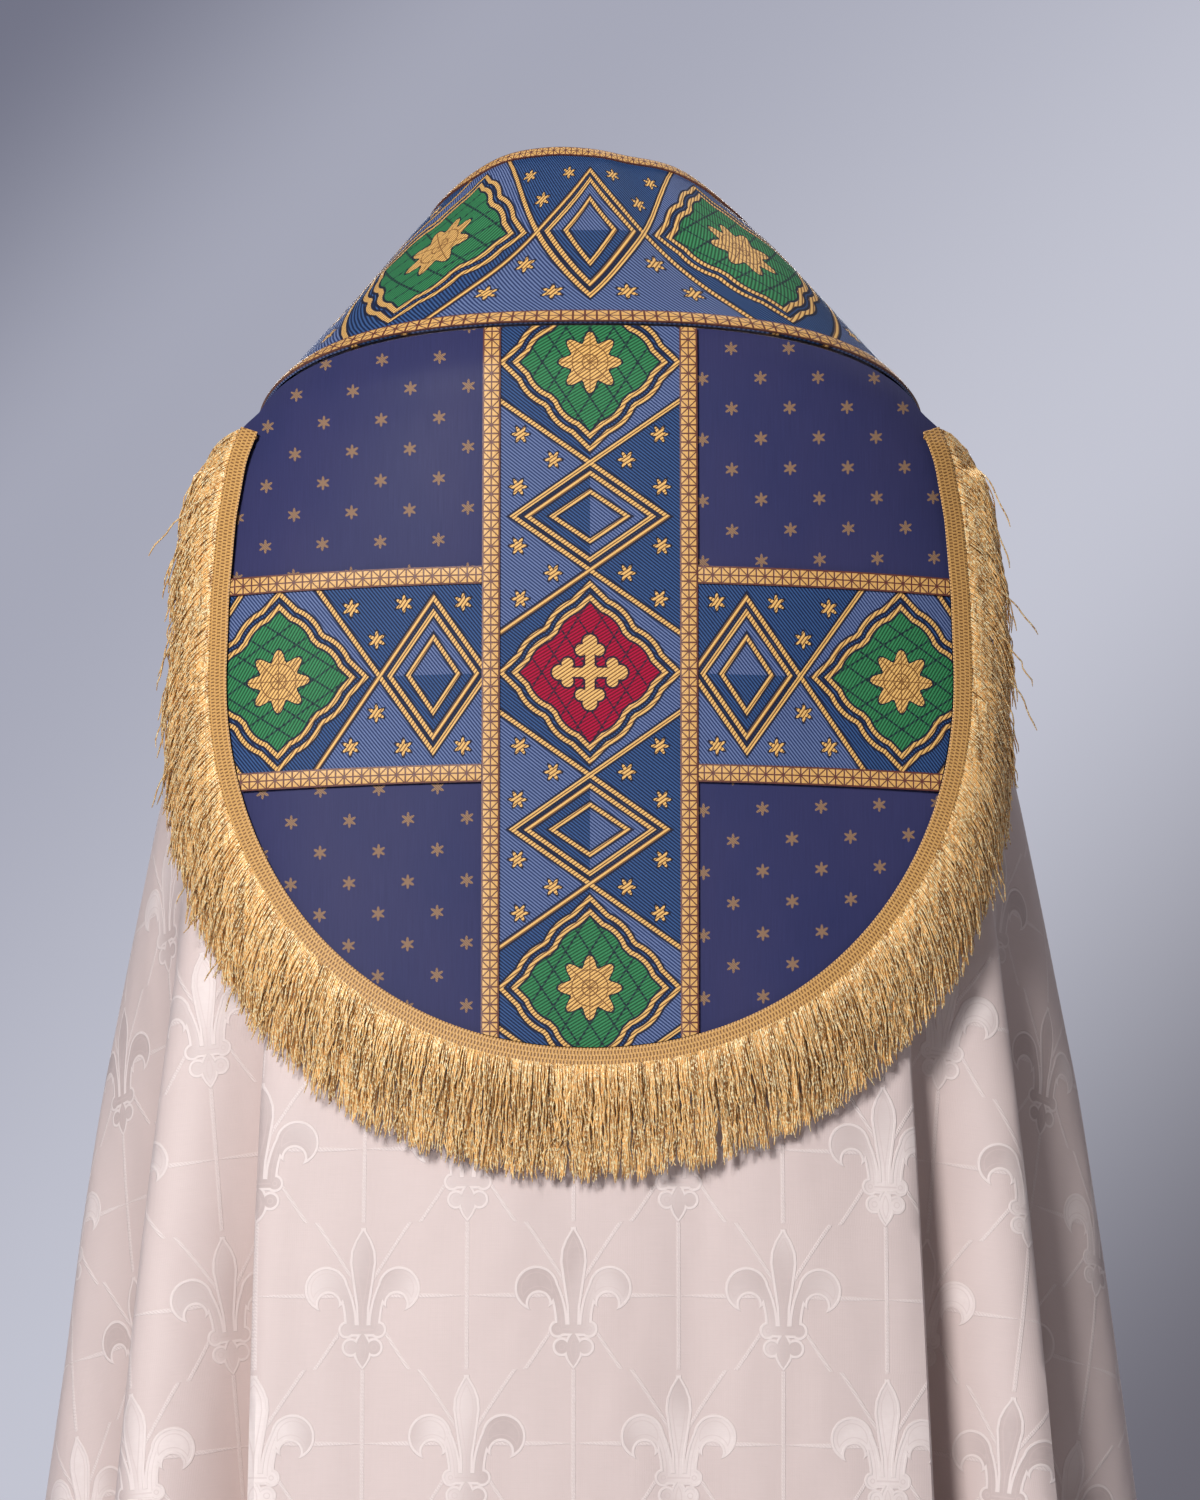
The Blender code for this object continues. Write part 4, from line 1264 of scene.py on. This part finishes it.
def side_at(z):
    """How far out the heading's inner edge is at a height, on the right."""
    line = heading_inner()
    right = line[(line[:, 0] > SIDE_START) & (line[:, 1] > FOOT_LEVEL)]
    right = right[np.argsort(right[:, 1])]
    return np.interp(z, right[:, 1], right[:, 0])


def hood_strip(name, x, z, lift, u, v, kind, node):
    """A strip of cloth that follows the hood."""
    x, z, u, v = np.broadcast_arrays(x, z, u, v)
    strip = cloth_grid(name, hood_points(x, z, lift), np.stack([u, v], axis=2))
    return finish_cloth(strip, from_back, kind, node)


def from_top(x):
    """Heights from the hood's top edge down to its heading, at each x."""
    top = hood_top(x)
    return top + (foot_at(x) - top) * np.linspace(0.0, 1.0, UPRIGHT_STEPS)[:, None]


def make_upright():
    x = np.linspace(-CROSS_HALF_WIDTH, CROSS_HALF_WIDTH, CROSS_STEPS)
    z = from_top(x)
    upright = hood_strip(
        "hood_upright", x, z, CROSS_LIFT, z - ARM_LEVEL, x, "orphrey", "hood_orphrey_upright"
    )
    for name, side in SIDES:
        share = np.linspace(0.0, 1.0, GALLON_ROWS)
        x = np.sort(side * (CROSS_HALF_WIDTH + share * GALLON_WIDTH))
        hood_strip(
            f"hood_upright_gallon_{name}", x, from_top(x), CROSS_GALLON_LIFT + crown(share),
            from_top(x), (share - 0.5) * GALLON_WIDTH, "gallon", f"hood_gallon_upright_{name}",
        )


def drooped(x, z):
    """An arm's rows droop a little towards the hood's edge."""
    return z - ARM_DROOP * (x / HOOD_HALF_WIDTH) ** 2


def arm_places(level, start, side, steps):
    """x and z over an arm of the cross, from the upright to the heading."""
    along = np.linspace(0.0, 1.0, steps)
    x = start + along * (side_at(level) - start)
    for _ in range(ARM_ROUNDS):
        x = start + along * (side_at(drooped(x, level)) - start)
    return side * x, drooped(x, level)


def make_arm(name, side):
    level = np.linspace(ARM_LEVEL + CROSS_HALF_WIDTH, ARM_LEVEL - CROSS_HALF_WIDTH, CROSS_STEPS)[:, None]
    x, z = arm_places(level, CROSS_HALF_WIDTH + SEAM_GAP, side, ARM_STEPS)
    arm = hood_strip(
        f"hood_arm_{name}", x, z, CROSS_LIFT, x + ARM_PHASE, level - ARM_LEVEL,
        "orphrey", f"hood_orphrey_arm_{name}",
    )
    for place, sign in (("upper", 1), ("lower", -1)):
        share = np.linspace(0.0, 1.0, GALLON_ROWS)[:, None]
        level = ARM_LEVEL + sign * (CROSS_HALF_WIDTH + share * GALLON_WIDTH)
        x, z = arm_places(level, CROSS_HALF_WIDTH + GALLON_WIDTH + SEAM_GAP, side, ARM_GALLON_STEPS)
        hood_strip(
            f"hood_arm_gallon_{name}_{place}", x, z, CROSS_GALLON_LIFT + crown(share),
            x, (share - 0.5) * GALLON_WIDTH, "gallon", f"hood_gallon_arm_{name}_{place}",
        )


# ---------------------------------------------------------------- fringe


def make_heading():
    """The fringe's woven heading, with its cross ribs and a corded inner edge."""
    spacing = bpy.context.scene.cope_trim.rib_spacing
    line, normals = heading_line()
    length = lengths_of(line)[-1]
    count = int(length / spacing * STEPS_PER_RIB) + 1
    along = np.linspace(0.0, length, count)
    share = np.array(HEADING_COLUMNS)[::-1]
    offsets = HEADING_OVERHANG - share * (HEADING_WIDTH + HEADING_OVERHANG)
    flat = walk(line, count)[:, None] + walk(normals, count)[:, None] * offsets[None, :, None]
    ribs = np.sin(2 * math.pi * along / spacing)[:, None]
    body = (share < HEADING_CORD_PLACE) & (share > HEADING_BODY_START)
    cord = HEADING_CORD * np.exp(-(((share - HEADING_CORD_PLACE) / HEADING_CORD_WIDTH) ** 2))
    rise = np.where(body, HEADING_RIB * ribs + HEADING_BODY, 0.0) + cord * (1 + HEADING_CORD_RIB * ribs)
    points = hood_points(flat[..., 0], flat[..., 1], FRINGE_LIFT + HEADING_THICKNESS + rise)
    uvs = np.stack(np.meshgrid((share - 0.5) * HEADING_WIDTH, along), axis=2)[..., ::-1]
    heading = cloth_grid("fringe_heading", points, uvs)
    return finish_cloth(heading, from_back, "heading", "hood_fringe", slot="fringe", sharp=70)


def thread_lines(root, out, lean, gather, reach, t):
    """x and z along each thread: out from the rim, then down, and in towards its tuft."""
    fall = FALL_ROOT + FALL_GAIN * t**FALL_POWER
    outward = (1 - fall) * OUT_SHARE + OUT_ROOT * (1 - t)
    across = out[:, :1] * outward + lean[:, None] * (LEAN_ROOT + t)
    step = np.stack([across, out[:, 1:] * outward - fall], axis=2)
    size = np.sqrt((step**2).sum(axis=2, keepdims=True))
    step = step / size * (reach[:, None, None] / (len(t) - 1))
    step[:, 0] = 0.0
    along = np.stack([-out[:, 1], out[:, 0]], axis=1) * gather[:, None]
    return root[:, None] + np.cumsum(step, axis=1) + along[:, None] * (t**GATHER_POWER)[:, None]


def thread_y(root, x, z, t):
    """y along each thread: it hangs from the hood's edge in towards the cape, and clears it."""
    downs = [-section.back_z for section in SECTIONS]
    rim = FRINGE_REACH_SHARE * np.interp(-z, downs, [section.half_width for section in SECTIONS])
    start = hood_points(root[:, 0], root[:, 1], 0.0)[:, 1:2]
    under = back_y(np.clip(x, -rim, rim).ravel(), z.ravel()).reshape(z.shape) - CAPE_THICKNESS
    return np.minimum(start + (under - HANG_GAP - start) * HANG_SHARE * t, under - LEAST_GAP)


def thread_paths(count, seed, lift, reach):
    """Points along each thread of one layer, from its root on the heading's rim to its tip."""
    trim = bpy.context.scene.cope_trim
    chance = np.random.default_rng(seed)
    line, normals = heading_line()
    lengths = lengths_of(line)
    length = lengths[-1]
    at = (np.arange(count) + chance.uniform(*ROOT_SPREAD, count)) / count * length
    out = at_distance(normals, lengths, at)
    root = at_distance(line, lengths, at) - out * ROOT_TUCK
    knots = int(length / trim.tuft_spacing)
    tuft = np.interp(at, np.linspace(0, length, knots), chance.normal(0, 1, knots))
    stray = np.where(chance.uniform(0, 1, count) < STRAY_SHARE, chance.normal(0, STRAY_LEAN, count), 0.0)
    lean = TUFT_LEAN * tuft + chance.normal(0, THREAD_LEAN, count) + stray
    nearest = np.round(at / trim.tuft_spacing) * trim.tuft_spacing
    gather = (nearest - at) * chance.uniform(*GATHER_SHARES, count)
    reach = reach * chance.uniform(*LENGTH_SHARES, count) * (1 - TUFT_SHORTENING * tuft.clip(0, 2))
    t = np.linspace(0.0, 1.0, trim.thread_steps + 1)
    x, z = np.moveaxis(thread_lines(root, out, lean, gather, reach, t), 2, 0)
    phase = chance.uniform(0, 2 * math.pi, (count, 1))
    turn = phase + chance.uniform(*CURL_TURNS, (count, 1)) * 2 * math.pi * t
    curl = chance.uniform(*CURL_SIZES, (count, 1)) * np.minimum(t * CURL_START, 1)
    x = x + curl * np.sin(turn)
    belly = THREAD_BELLY * np.sin(math.pi * t**BELLY_POWER) * chance.uniform(*BELLY_SHARES, (count, 1))
    away = lift + belly + curl * np.cos(turn)
    return np.stack([x, thread_y(root, x, z, t) - away, z], axis=2)


def make_threads(name, seed, lift):
    """One layer of fringe, each thread a fine cord of its own."""
    trim = bpy.context.scene.cope_trim
    curve = bpy.data.curves.new(name, "CURVE")
    curve.dimensions = "3D"
    curve.bevel_depth = trim.thread_size / 2
    curve.bevel_resolution = 0
    curve.use_fill_caps = True
    for path in thread_paths(trim.threads_per_layer, seed, lift, trim.fringe_drop):
        spline = curve.splines.new("POLY")
        spline.points.add(len(path) - 1)
        place = np.concatenate([path, np.ones((len(path), 1))], axis=1)
        spline.points.foreach_set("co", place.astype(np.float32).ravel())
        spline.points[-1].radius = TIP_SIZE
    layer = bpy.data.objects.new(name, curve)
    bpy.context.scene.collection.objects.link(layer)
    only(layer)
    bpy.ops.object.convert(target="MESH")
    bpy.ops.object.shade_smooth()
    return settle(bpy.context.object, "thread", "fringe")


def make_fringe():
    return [make_heading()] + [
        make_threads(f"fringe_{name}", seed, FRINGE_LIFT + lift) for name, lift, seed in FRINGE_LAYERS
    ]


# ---------------------------------------------------------------- morse


def front_points(place, from_edge, side, lift):
    """Points on one front, at distances from its edge, lifted off it."""
    ring, lengths = half_ring(between_sections(place), side)
    points = at_distance(ring, lengths, lengths[-1] - from_edge)
    inward = at_distance(ring, lengths, lengths[-1] - from_edge - PROBE)
    return points + outward_of(points - inward, np.array([0.0, 1.0, 0.0])) * lift


def morse_row(place, lift):
    """One row of points over the morse, from left to right."""
    from_edge = np.linspace(MORSE_HALF_LAP, 0.0, MORSE_LAP_STEPS)
    left = front_points(place, from_edge, -1, lift)
    right = front_points(place, from_edge[::-1], 1, lift)
    gap = np.linspace(0.0, 1.0, MORSE_GAP_STEPS)[1:-1, None]
    return np.concatenate([left, left[-1] + (right[0] - left[-1]) * gap, right])


def make_morse():
    for name, start, end, steps, lift, kind, node in (
        ("morse", 0, 1, MORSE_STEPS, MORSE_LIFT, "orphrey", "morse_tab"),
        ("morse_gallon_top", 0, MORSE_GALLON_SHARE, GALLON_ROWS, MORSE_GALLON_LIFT, "gallon",
         "morse_gallon_upper"),
        ("morse_gallon_foot", 1 - MORSE_GALLON_SHARE, 1, GALLON_ROWS, MORSE_GALLON_LIFT, "gallon",
         "morse_gallon_lower"),
    ):
        places = MORSE_TOP_PLACE + (MORSE_FOOT_PLACE - MORSE_TOP_PLACE) * np.linspace(start, end, steps)
        share = np.linspace(0, 1, steps)
        gallon = kind == "gallon"
        lifts = lift + crown(share) * gallon
        points = np.array([morse_row(place, raised) for place, raised in zip(places, lifts)])
        along = lengths_of(points[len(points) // 2])
        down = lengths_of(points[:, points.shape[1] // 2])
        u = along - along[-1] / 2 + (0.0 if gallon else MORSE_PHASE)
        v = (share - 0.5) * GALLON_WIDTH if gallon else down - down[-1] / 2
        sheet = cloth_grid(name, points, np.stack(np.meshgrid(u, v), axis=2))
        finish_cloth(sheet, from_front, kind, node)


# ---------------------------------------------------------------- stage


def soft_room(stage):
    """A plain room that is lightest along one slant and darker to both sides of it."""
    room = Finish(bpy.data.worlds.new("soft room"))
    looking = room.node("ShaderNodeTexCoord", output="Generated")
    slant = room.vector_math("DOT_PRODUCT", looking, ROOM_SLANT, "Value") + 0.5
    colours = (stage.room_left, stage.room_upper, stage.room_middle, stage.room_right)
    spread = room.ramp(slant, tuple(zip(ROOM_STOPS, colours)), "EASE")
    near, far = ROOM_DEPTH
    depth = room.node(
        "ShaderNodeMapRange", {}, {"Value": room.split(looking)[1], "From Min": near, "From Max": far}
    )
    return room.made("Background", {"Color": room.mix(depth, stage.near_colour, spread)})


def put(name, data, location, rotation):
    holder = bpy.data.objects.new(name, data)
    holder.location = location
    holder.rotation_euler = rotation
    bpy.context.scene.collection.objects.link(holder)
    return holder


def make_stage():
    scene = bpy.context.scene
    stage = scene.cope_stage
    deselect_all()
    bpy.ops.mesh.primitive_circle_add(
        vertices=FLOOR_SIDES, radius=FLOOR_RADIUS, fill_type="NGON", location=(0, 0, stage.floor_level)
    )
    floor = bpy.context.object
    floor.name = "floor"
    finish = Finish(bpy.data.materials.new("pale floor"))
    looks = {"Roughness": 0.85, "Base Color": stage.floor_colour}
    floor.data.materials.append(finish.made("Principled BSDF", looks))

    scene.world = soft_room(stage)
    scene.view_settings.view_transform = "Standard"
    for name, place, size, colour in LAMPS:
        lamp = bpy.data.lights.new(name, "AREA")
        lamp.shape = "DISK"
        lamp.size = size
        lamp.energy = getattr(stage, f"{name}_power")
        lamp.color = colour
        put(name, lamp, place, (LAMP_AIM - Vector(place)).to_track_quat("-Z", "Y").to_euler())

    view = bpy.data.cameras.new("view")
    view.sensor_fit = "VERTICAL"
    view.sensor_height = SENSOR_HEIGHT
    view.lens = stage.lens
    view.clip_end = VIEW_END
    scene.camera = put("view", view, CAMERA_PLACE, (math.radians(90), 0.0, 0.0))


# ---------------------------------------------------------------- sizes a user would change


def length_property(name, description, default, **limits):
    return FloatProperty(name=name, description=description, default=default, unit="LENGTH", **limits)


def colour_property(name, description, *default):
    return FloatVectorProperty(name=name, description=description, subtype="COLOR", default=default)


def power_property(name, description, default):
    return FloatProperty(name=name, description=description, default=default, min=0.0)


class CopeCloth(bpy.types.PropertyGroup):
    cut_radius: length_property(
        "Cut radius", "Radius of the half circle that the cape is cut from", 1.45, min=1.0, max=1.8
    )


class CopeTrim(bpy.types.PropertyGroup):
    gallon_crown: length_property(
        "Gallon crown", "How far a gallon's middle stands above its edges", 0.0003, min=0.0, max=0.001
    )
    rib_spacing: length_property(
        "Rib spacing", "Distance between the cross ribs of the fringe's heading", 0.0022,
        min=0.001, max=0.005,
    )
    threads_per_layer: IntProperty(
        name="Threads per layer", description="Threads in each of the fringe's three layers",
        default=1150, min=100, max=1500,
    )
    thread_steps: IntProperty(
        name="Thread steps", description="Lengths that each thread is drawn in", default=15, min=6, max=20
    )
    thread_size: length_property(
        "Thread size", "Thickness of one fringe thread", 0.00105, min=0.0003, max=0.002
    )
    tuft_spacing: length_property(
        "Tuft spacing", "Distance between the tufts that the fringe's threads gather in", 0.0075,
        min=0.003, max=0.02,
    )
    fringe_drop: length_property(
        "Fringe drop", "Length of the fringe below its heading", 0.076, min=0.03, max=0.12
    )


class CopeLooks(bpy.types.PropertyGroup):
    cream: colour_property("Cream", "The damask's ground", 0.72, 0.61, 0.59)
    cream_shade: colour_property("Cream shade", "The damask's ground where it is duller", 0.66, 0.55, 0.53)
    silver: colour_property("Silver", "The damask's lilies", 0.56, 0.465, 0.45)
    # Painted shade: the colour that the cloth is darkened towards deep in a fold.
    painted_fold_shade: colour_property("Trough shade", "The cloth deep in a fold", 0.36, 0.245, 0.21)
    # The cord colour is also the lighter end of the lilies' painted sheen.
    cord: colour_property("Cord", "The damask's outlines and trellis", 0.85, 0.76, 0.74)
    light_blue: colour_property("Light blue", "The orphreys' lighter blue", 0.018, 0.036, 0.115)
    pale_thread: colour_property("Pale thread", "The pale ribs in the lighter blue", 0.145, 0.2, 0.385)
    dark_blue: colour_property("Dark blue", "The orphreys' darker blue", 0.006, 0.016, 0.06)
    mid_blue: colour_property("Mid blue", "The ribs in the darker blue", 0.04, 0.1, 0.26)
    green: colour_property("Green", "The medallions", 0.026, 0.165, 0.065)
    red: colour_property("Red", "The middle medallion", 0.3, 0.001, 0.03)
    ink: colour_property("Ink", "The dark outlines", 0.01, 0.012, 0.03)
    gold: colour_property("Gold", "The lighter gold thread", 0.8, 0.485, 0.16)
    gold_shade: colour_property("Gold shade", "The darker gold thread", 0.58, 0.3, 0.085)
    # Painted glints on the fringe threads.
    painted_glint_gold: colour_property("Light gold", "The brightest gold thread", 1.0, 0.87, 0.54)
    gold_brown: colour_property("Gold brown", "The brown in the gold", 0.16, 0.065, 0.02)
    plum: colour_property("Plum", "The lines of the gallons", 0.085, 0.012, 0.018)
    navy: colour_property("Navy", "The hood's satin", 0.026, 0.033, 0.108)
    # Painted sheen: the warmer navy laid over the hood's satin in broad patches.
    navy_painted_sheen: colour_property("Worn navy", "The hood's satin where it is worn", 0.046, 0.044, 0.118)
    bronze: colour_property("Bronze", "The satin's stars", 0.34, 0.22, 0.135)
    bronze_shade: colour_property(
        "Bronze shade", "The darker thread of the satin's stars", 0.16, 0.09, 0.065
    )
    heading_gold: colour_property("Heading gold", "The fringe's heading", 0.46, 0.23, 0.07)
    thread_brown: colour_property("Thread brown", "The fringe's darker threads", 0.33, 0.14, 0.032)
    thread_gold: colour_property("Thread gold", "The fringe", 0.96, 0.585, 0.215)


class CopeStage(bpy.types.PropertyGroup):
    floor_level: length_property("Floor level", "Height of the floor under the hem", -1.43)
    floor_colour: colour_property("Floor colour", "The pale floor", 0.42, 0.44, 0.50)
    room_left: colour_property("Room left", "The room's upper left", 0.17, 0.175, 0.235)
    room_upper: colour_property(
        "Room upper", "The room between its left and its lightest part", 0.38, 0.39, 0.475
    )
    room_middle: colour_property("Room middle", "The room's lightest part", 0.55, 0.56, 0.645)
    room_right: colour_property("Room right", "The room's lower right", 0.145, 0.140, 0.170)
    near_colour: colour_property("Near colour", "The near half of the room", 0.095, 0.076, 0.070)
    key_power: power_property("Key light", "Power of the main light", 205.0)
    fill_power: power_property("Fill light", "Power of the fill light", 6.0)
    top_power: power_property("Top light", "Power of the far top light", 40.0)
    front_power: power_property("Front light", "Power of the light on the wearer's front", 110.0)
    lens: FloatProperty(
        name="Lens", description="Focal length of the view", default=90.0, min=20.0, max=200.0
    )


# ---------------------------------------------------------------- operators


class COPE_OT_cape(bpy.types.Operator):
    """Makes the draped cape of cream damask."""

    bl_idname = "cope.cape"
    bl_label = "Cape"

    def execute(self, context):
        make_cape()
        return {"FINISHED"}


class COPE_OT_neck_band(bpy.types.Operator):
    """Makes the orphrey band round the neck and its two gallons."""

    bl_idname = "cope.neck_band"
    bl_label = "Neck band"

    def execute(self, context):
        make_neck_band()
        return {"FINISHED"}


class COPE_OT_front_bands(bpy.types.Operator):
    """Makes the orphrey bands down both fronts and their gallons."""

    bl_idname = "cope.front_bands"
    bl_label = "Front bands"

    def execute(self, context):
        for name, side in SIDES:
            make_front_band(name, side)
        return {"FINISHED"}


class COPE_OT_hood(bpy.types.Operator):
    """Makes the shield hood with its cross of orphreys, gallons and fringe."""

    bl_idname = "cope.hood"
    bl_label = "Hood and fringe"

    def execute(self, context):
        hood = make_hood()
        make_upright()
        for name, side in SIDES:
            make_arm(name, side)
        fringe = make_fringe()
        return {"FINISHED"}


class COPE_OT_morse(bpy.types.Operator):
    """Makes the morse that closes the fronts."""

    bl_idname = "cope.morse"
    bl_label = "Morse"

    def execute(self, context):
        make_morse()
        return {"FINISHED"}


class COPE_OT_stage(bpy.types.Operator):
    """Sets the floor, the soft lights and the camera."""

    bl_idname = "cope.stage"
    bl_label = "Stage"

    def execute(self, context):
        make_stage()
        return {"FINISHED"}


GROUPS = (
    (CopeCloth, "cope_cloth"),
    (CopeTrim, "cope_trim"),
    (CopeLooks, "cope_looks"),
    (CopeStage, "cope_stage"),
)
OPERATORS = (
    COPE_OT_cape,
    COPE_OT_neck_band,
    COPE_OT_front_bands,
    COPE_OT_hood,
    COPE_OT_morse,
    COPE_OT_stage,
)


class COPE_PT_panel(bpy.types.Panel):
    """Lists the cope's sizes, colours and pieces."""

    bl_idname = "COPE_PT_panel"
    bl_label = "Cope"
    bl_space_type = "VIEW_3D"
    bl_region_type = "UI"
    bl_category = "Cope"

    def draw(self, context):
        for group, name in GROUPS:
            box = self.layout.box()
            for field in group.__annotations__:
                box.prop(getattr(context.scene, name), field)
        for operator in OPERATORS:
            self.layout.operator(operator.bl_idname)


def register():
    for group, name in GROUPS:
        bpy.utils.register_class(group)
        setattr(bpy.types.Scene, name, PointerProperty(type=group))
    for operator in OPERATORS:
        bpy.utils.register_class(operator)
    bpy.utils.register_class(COPE_PT_panel)


def unregister():
    bpy.utils.unregister_class(COPE_PT_panel)
    for operator in reversed(OPERATORS):
        bpy.utils.unregister_class(operator)
    for group, name in reversed(GROUPS):
        delattr(bpy.types.Scene, name)
        bpy.utils.unregister_class(group)


def main():
    register()
    bpy.ops.cope.cape()
    bpy.ops.cope.neck_band()
    bpy.ops.cope.front_bands()
    bpy.ops.cope.hood()
    bpy.ops.cope.morse()
    bpy.ops.cope.stage()


if __name__ == "__main__":
    main()
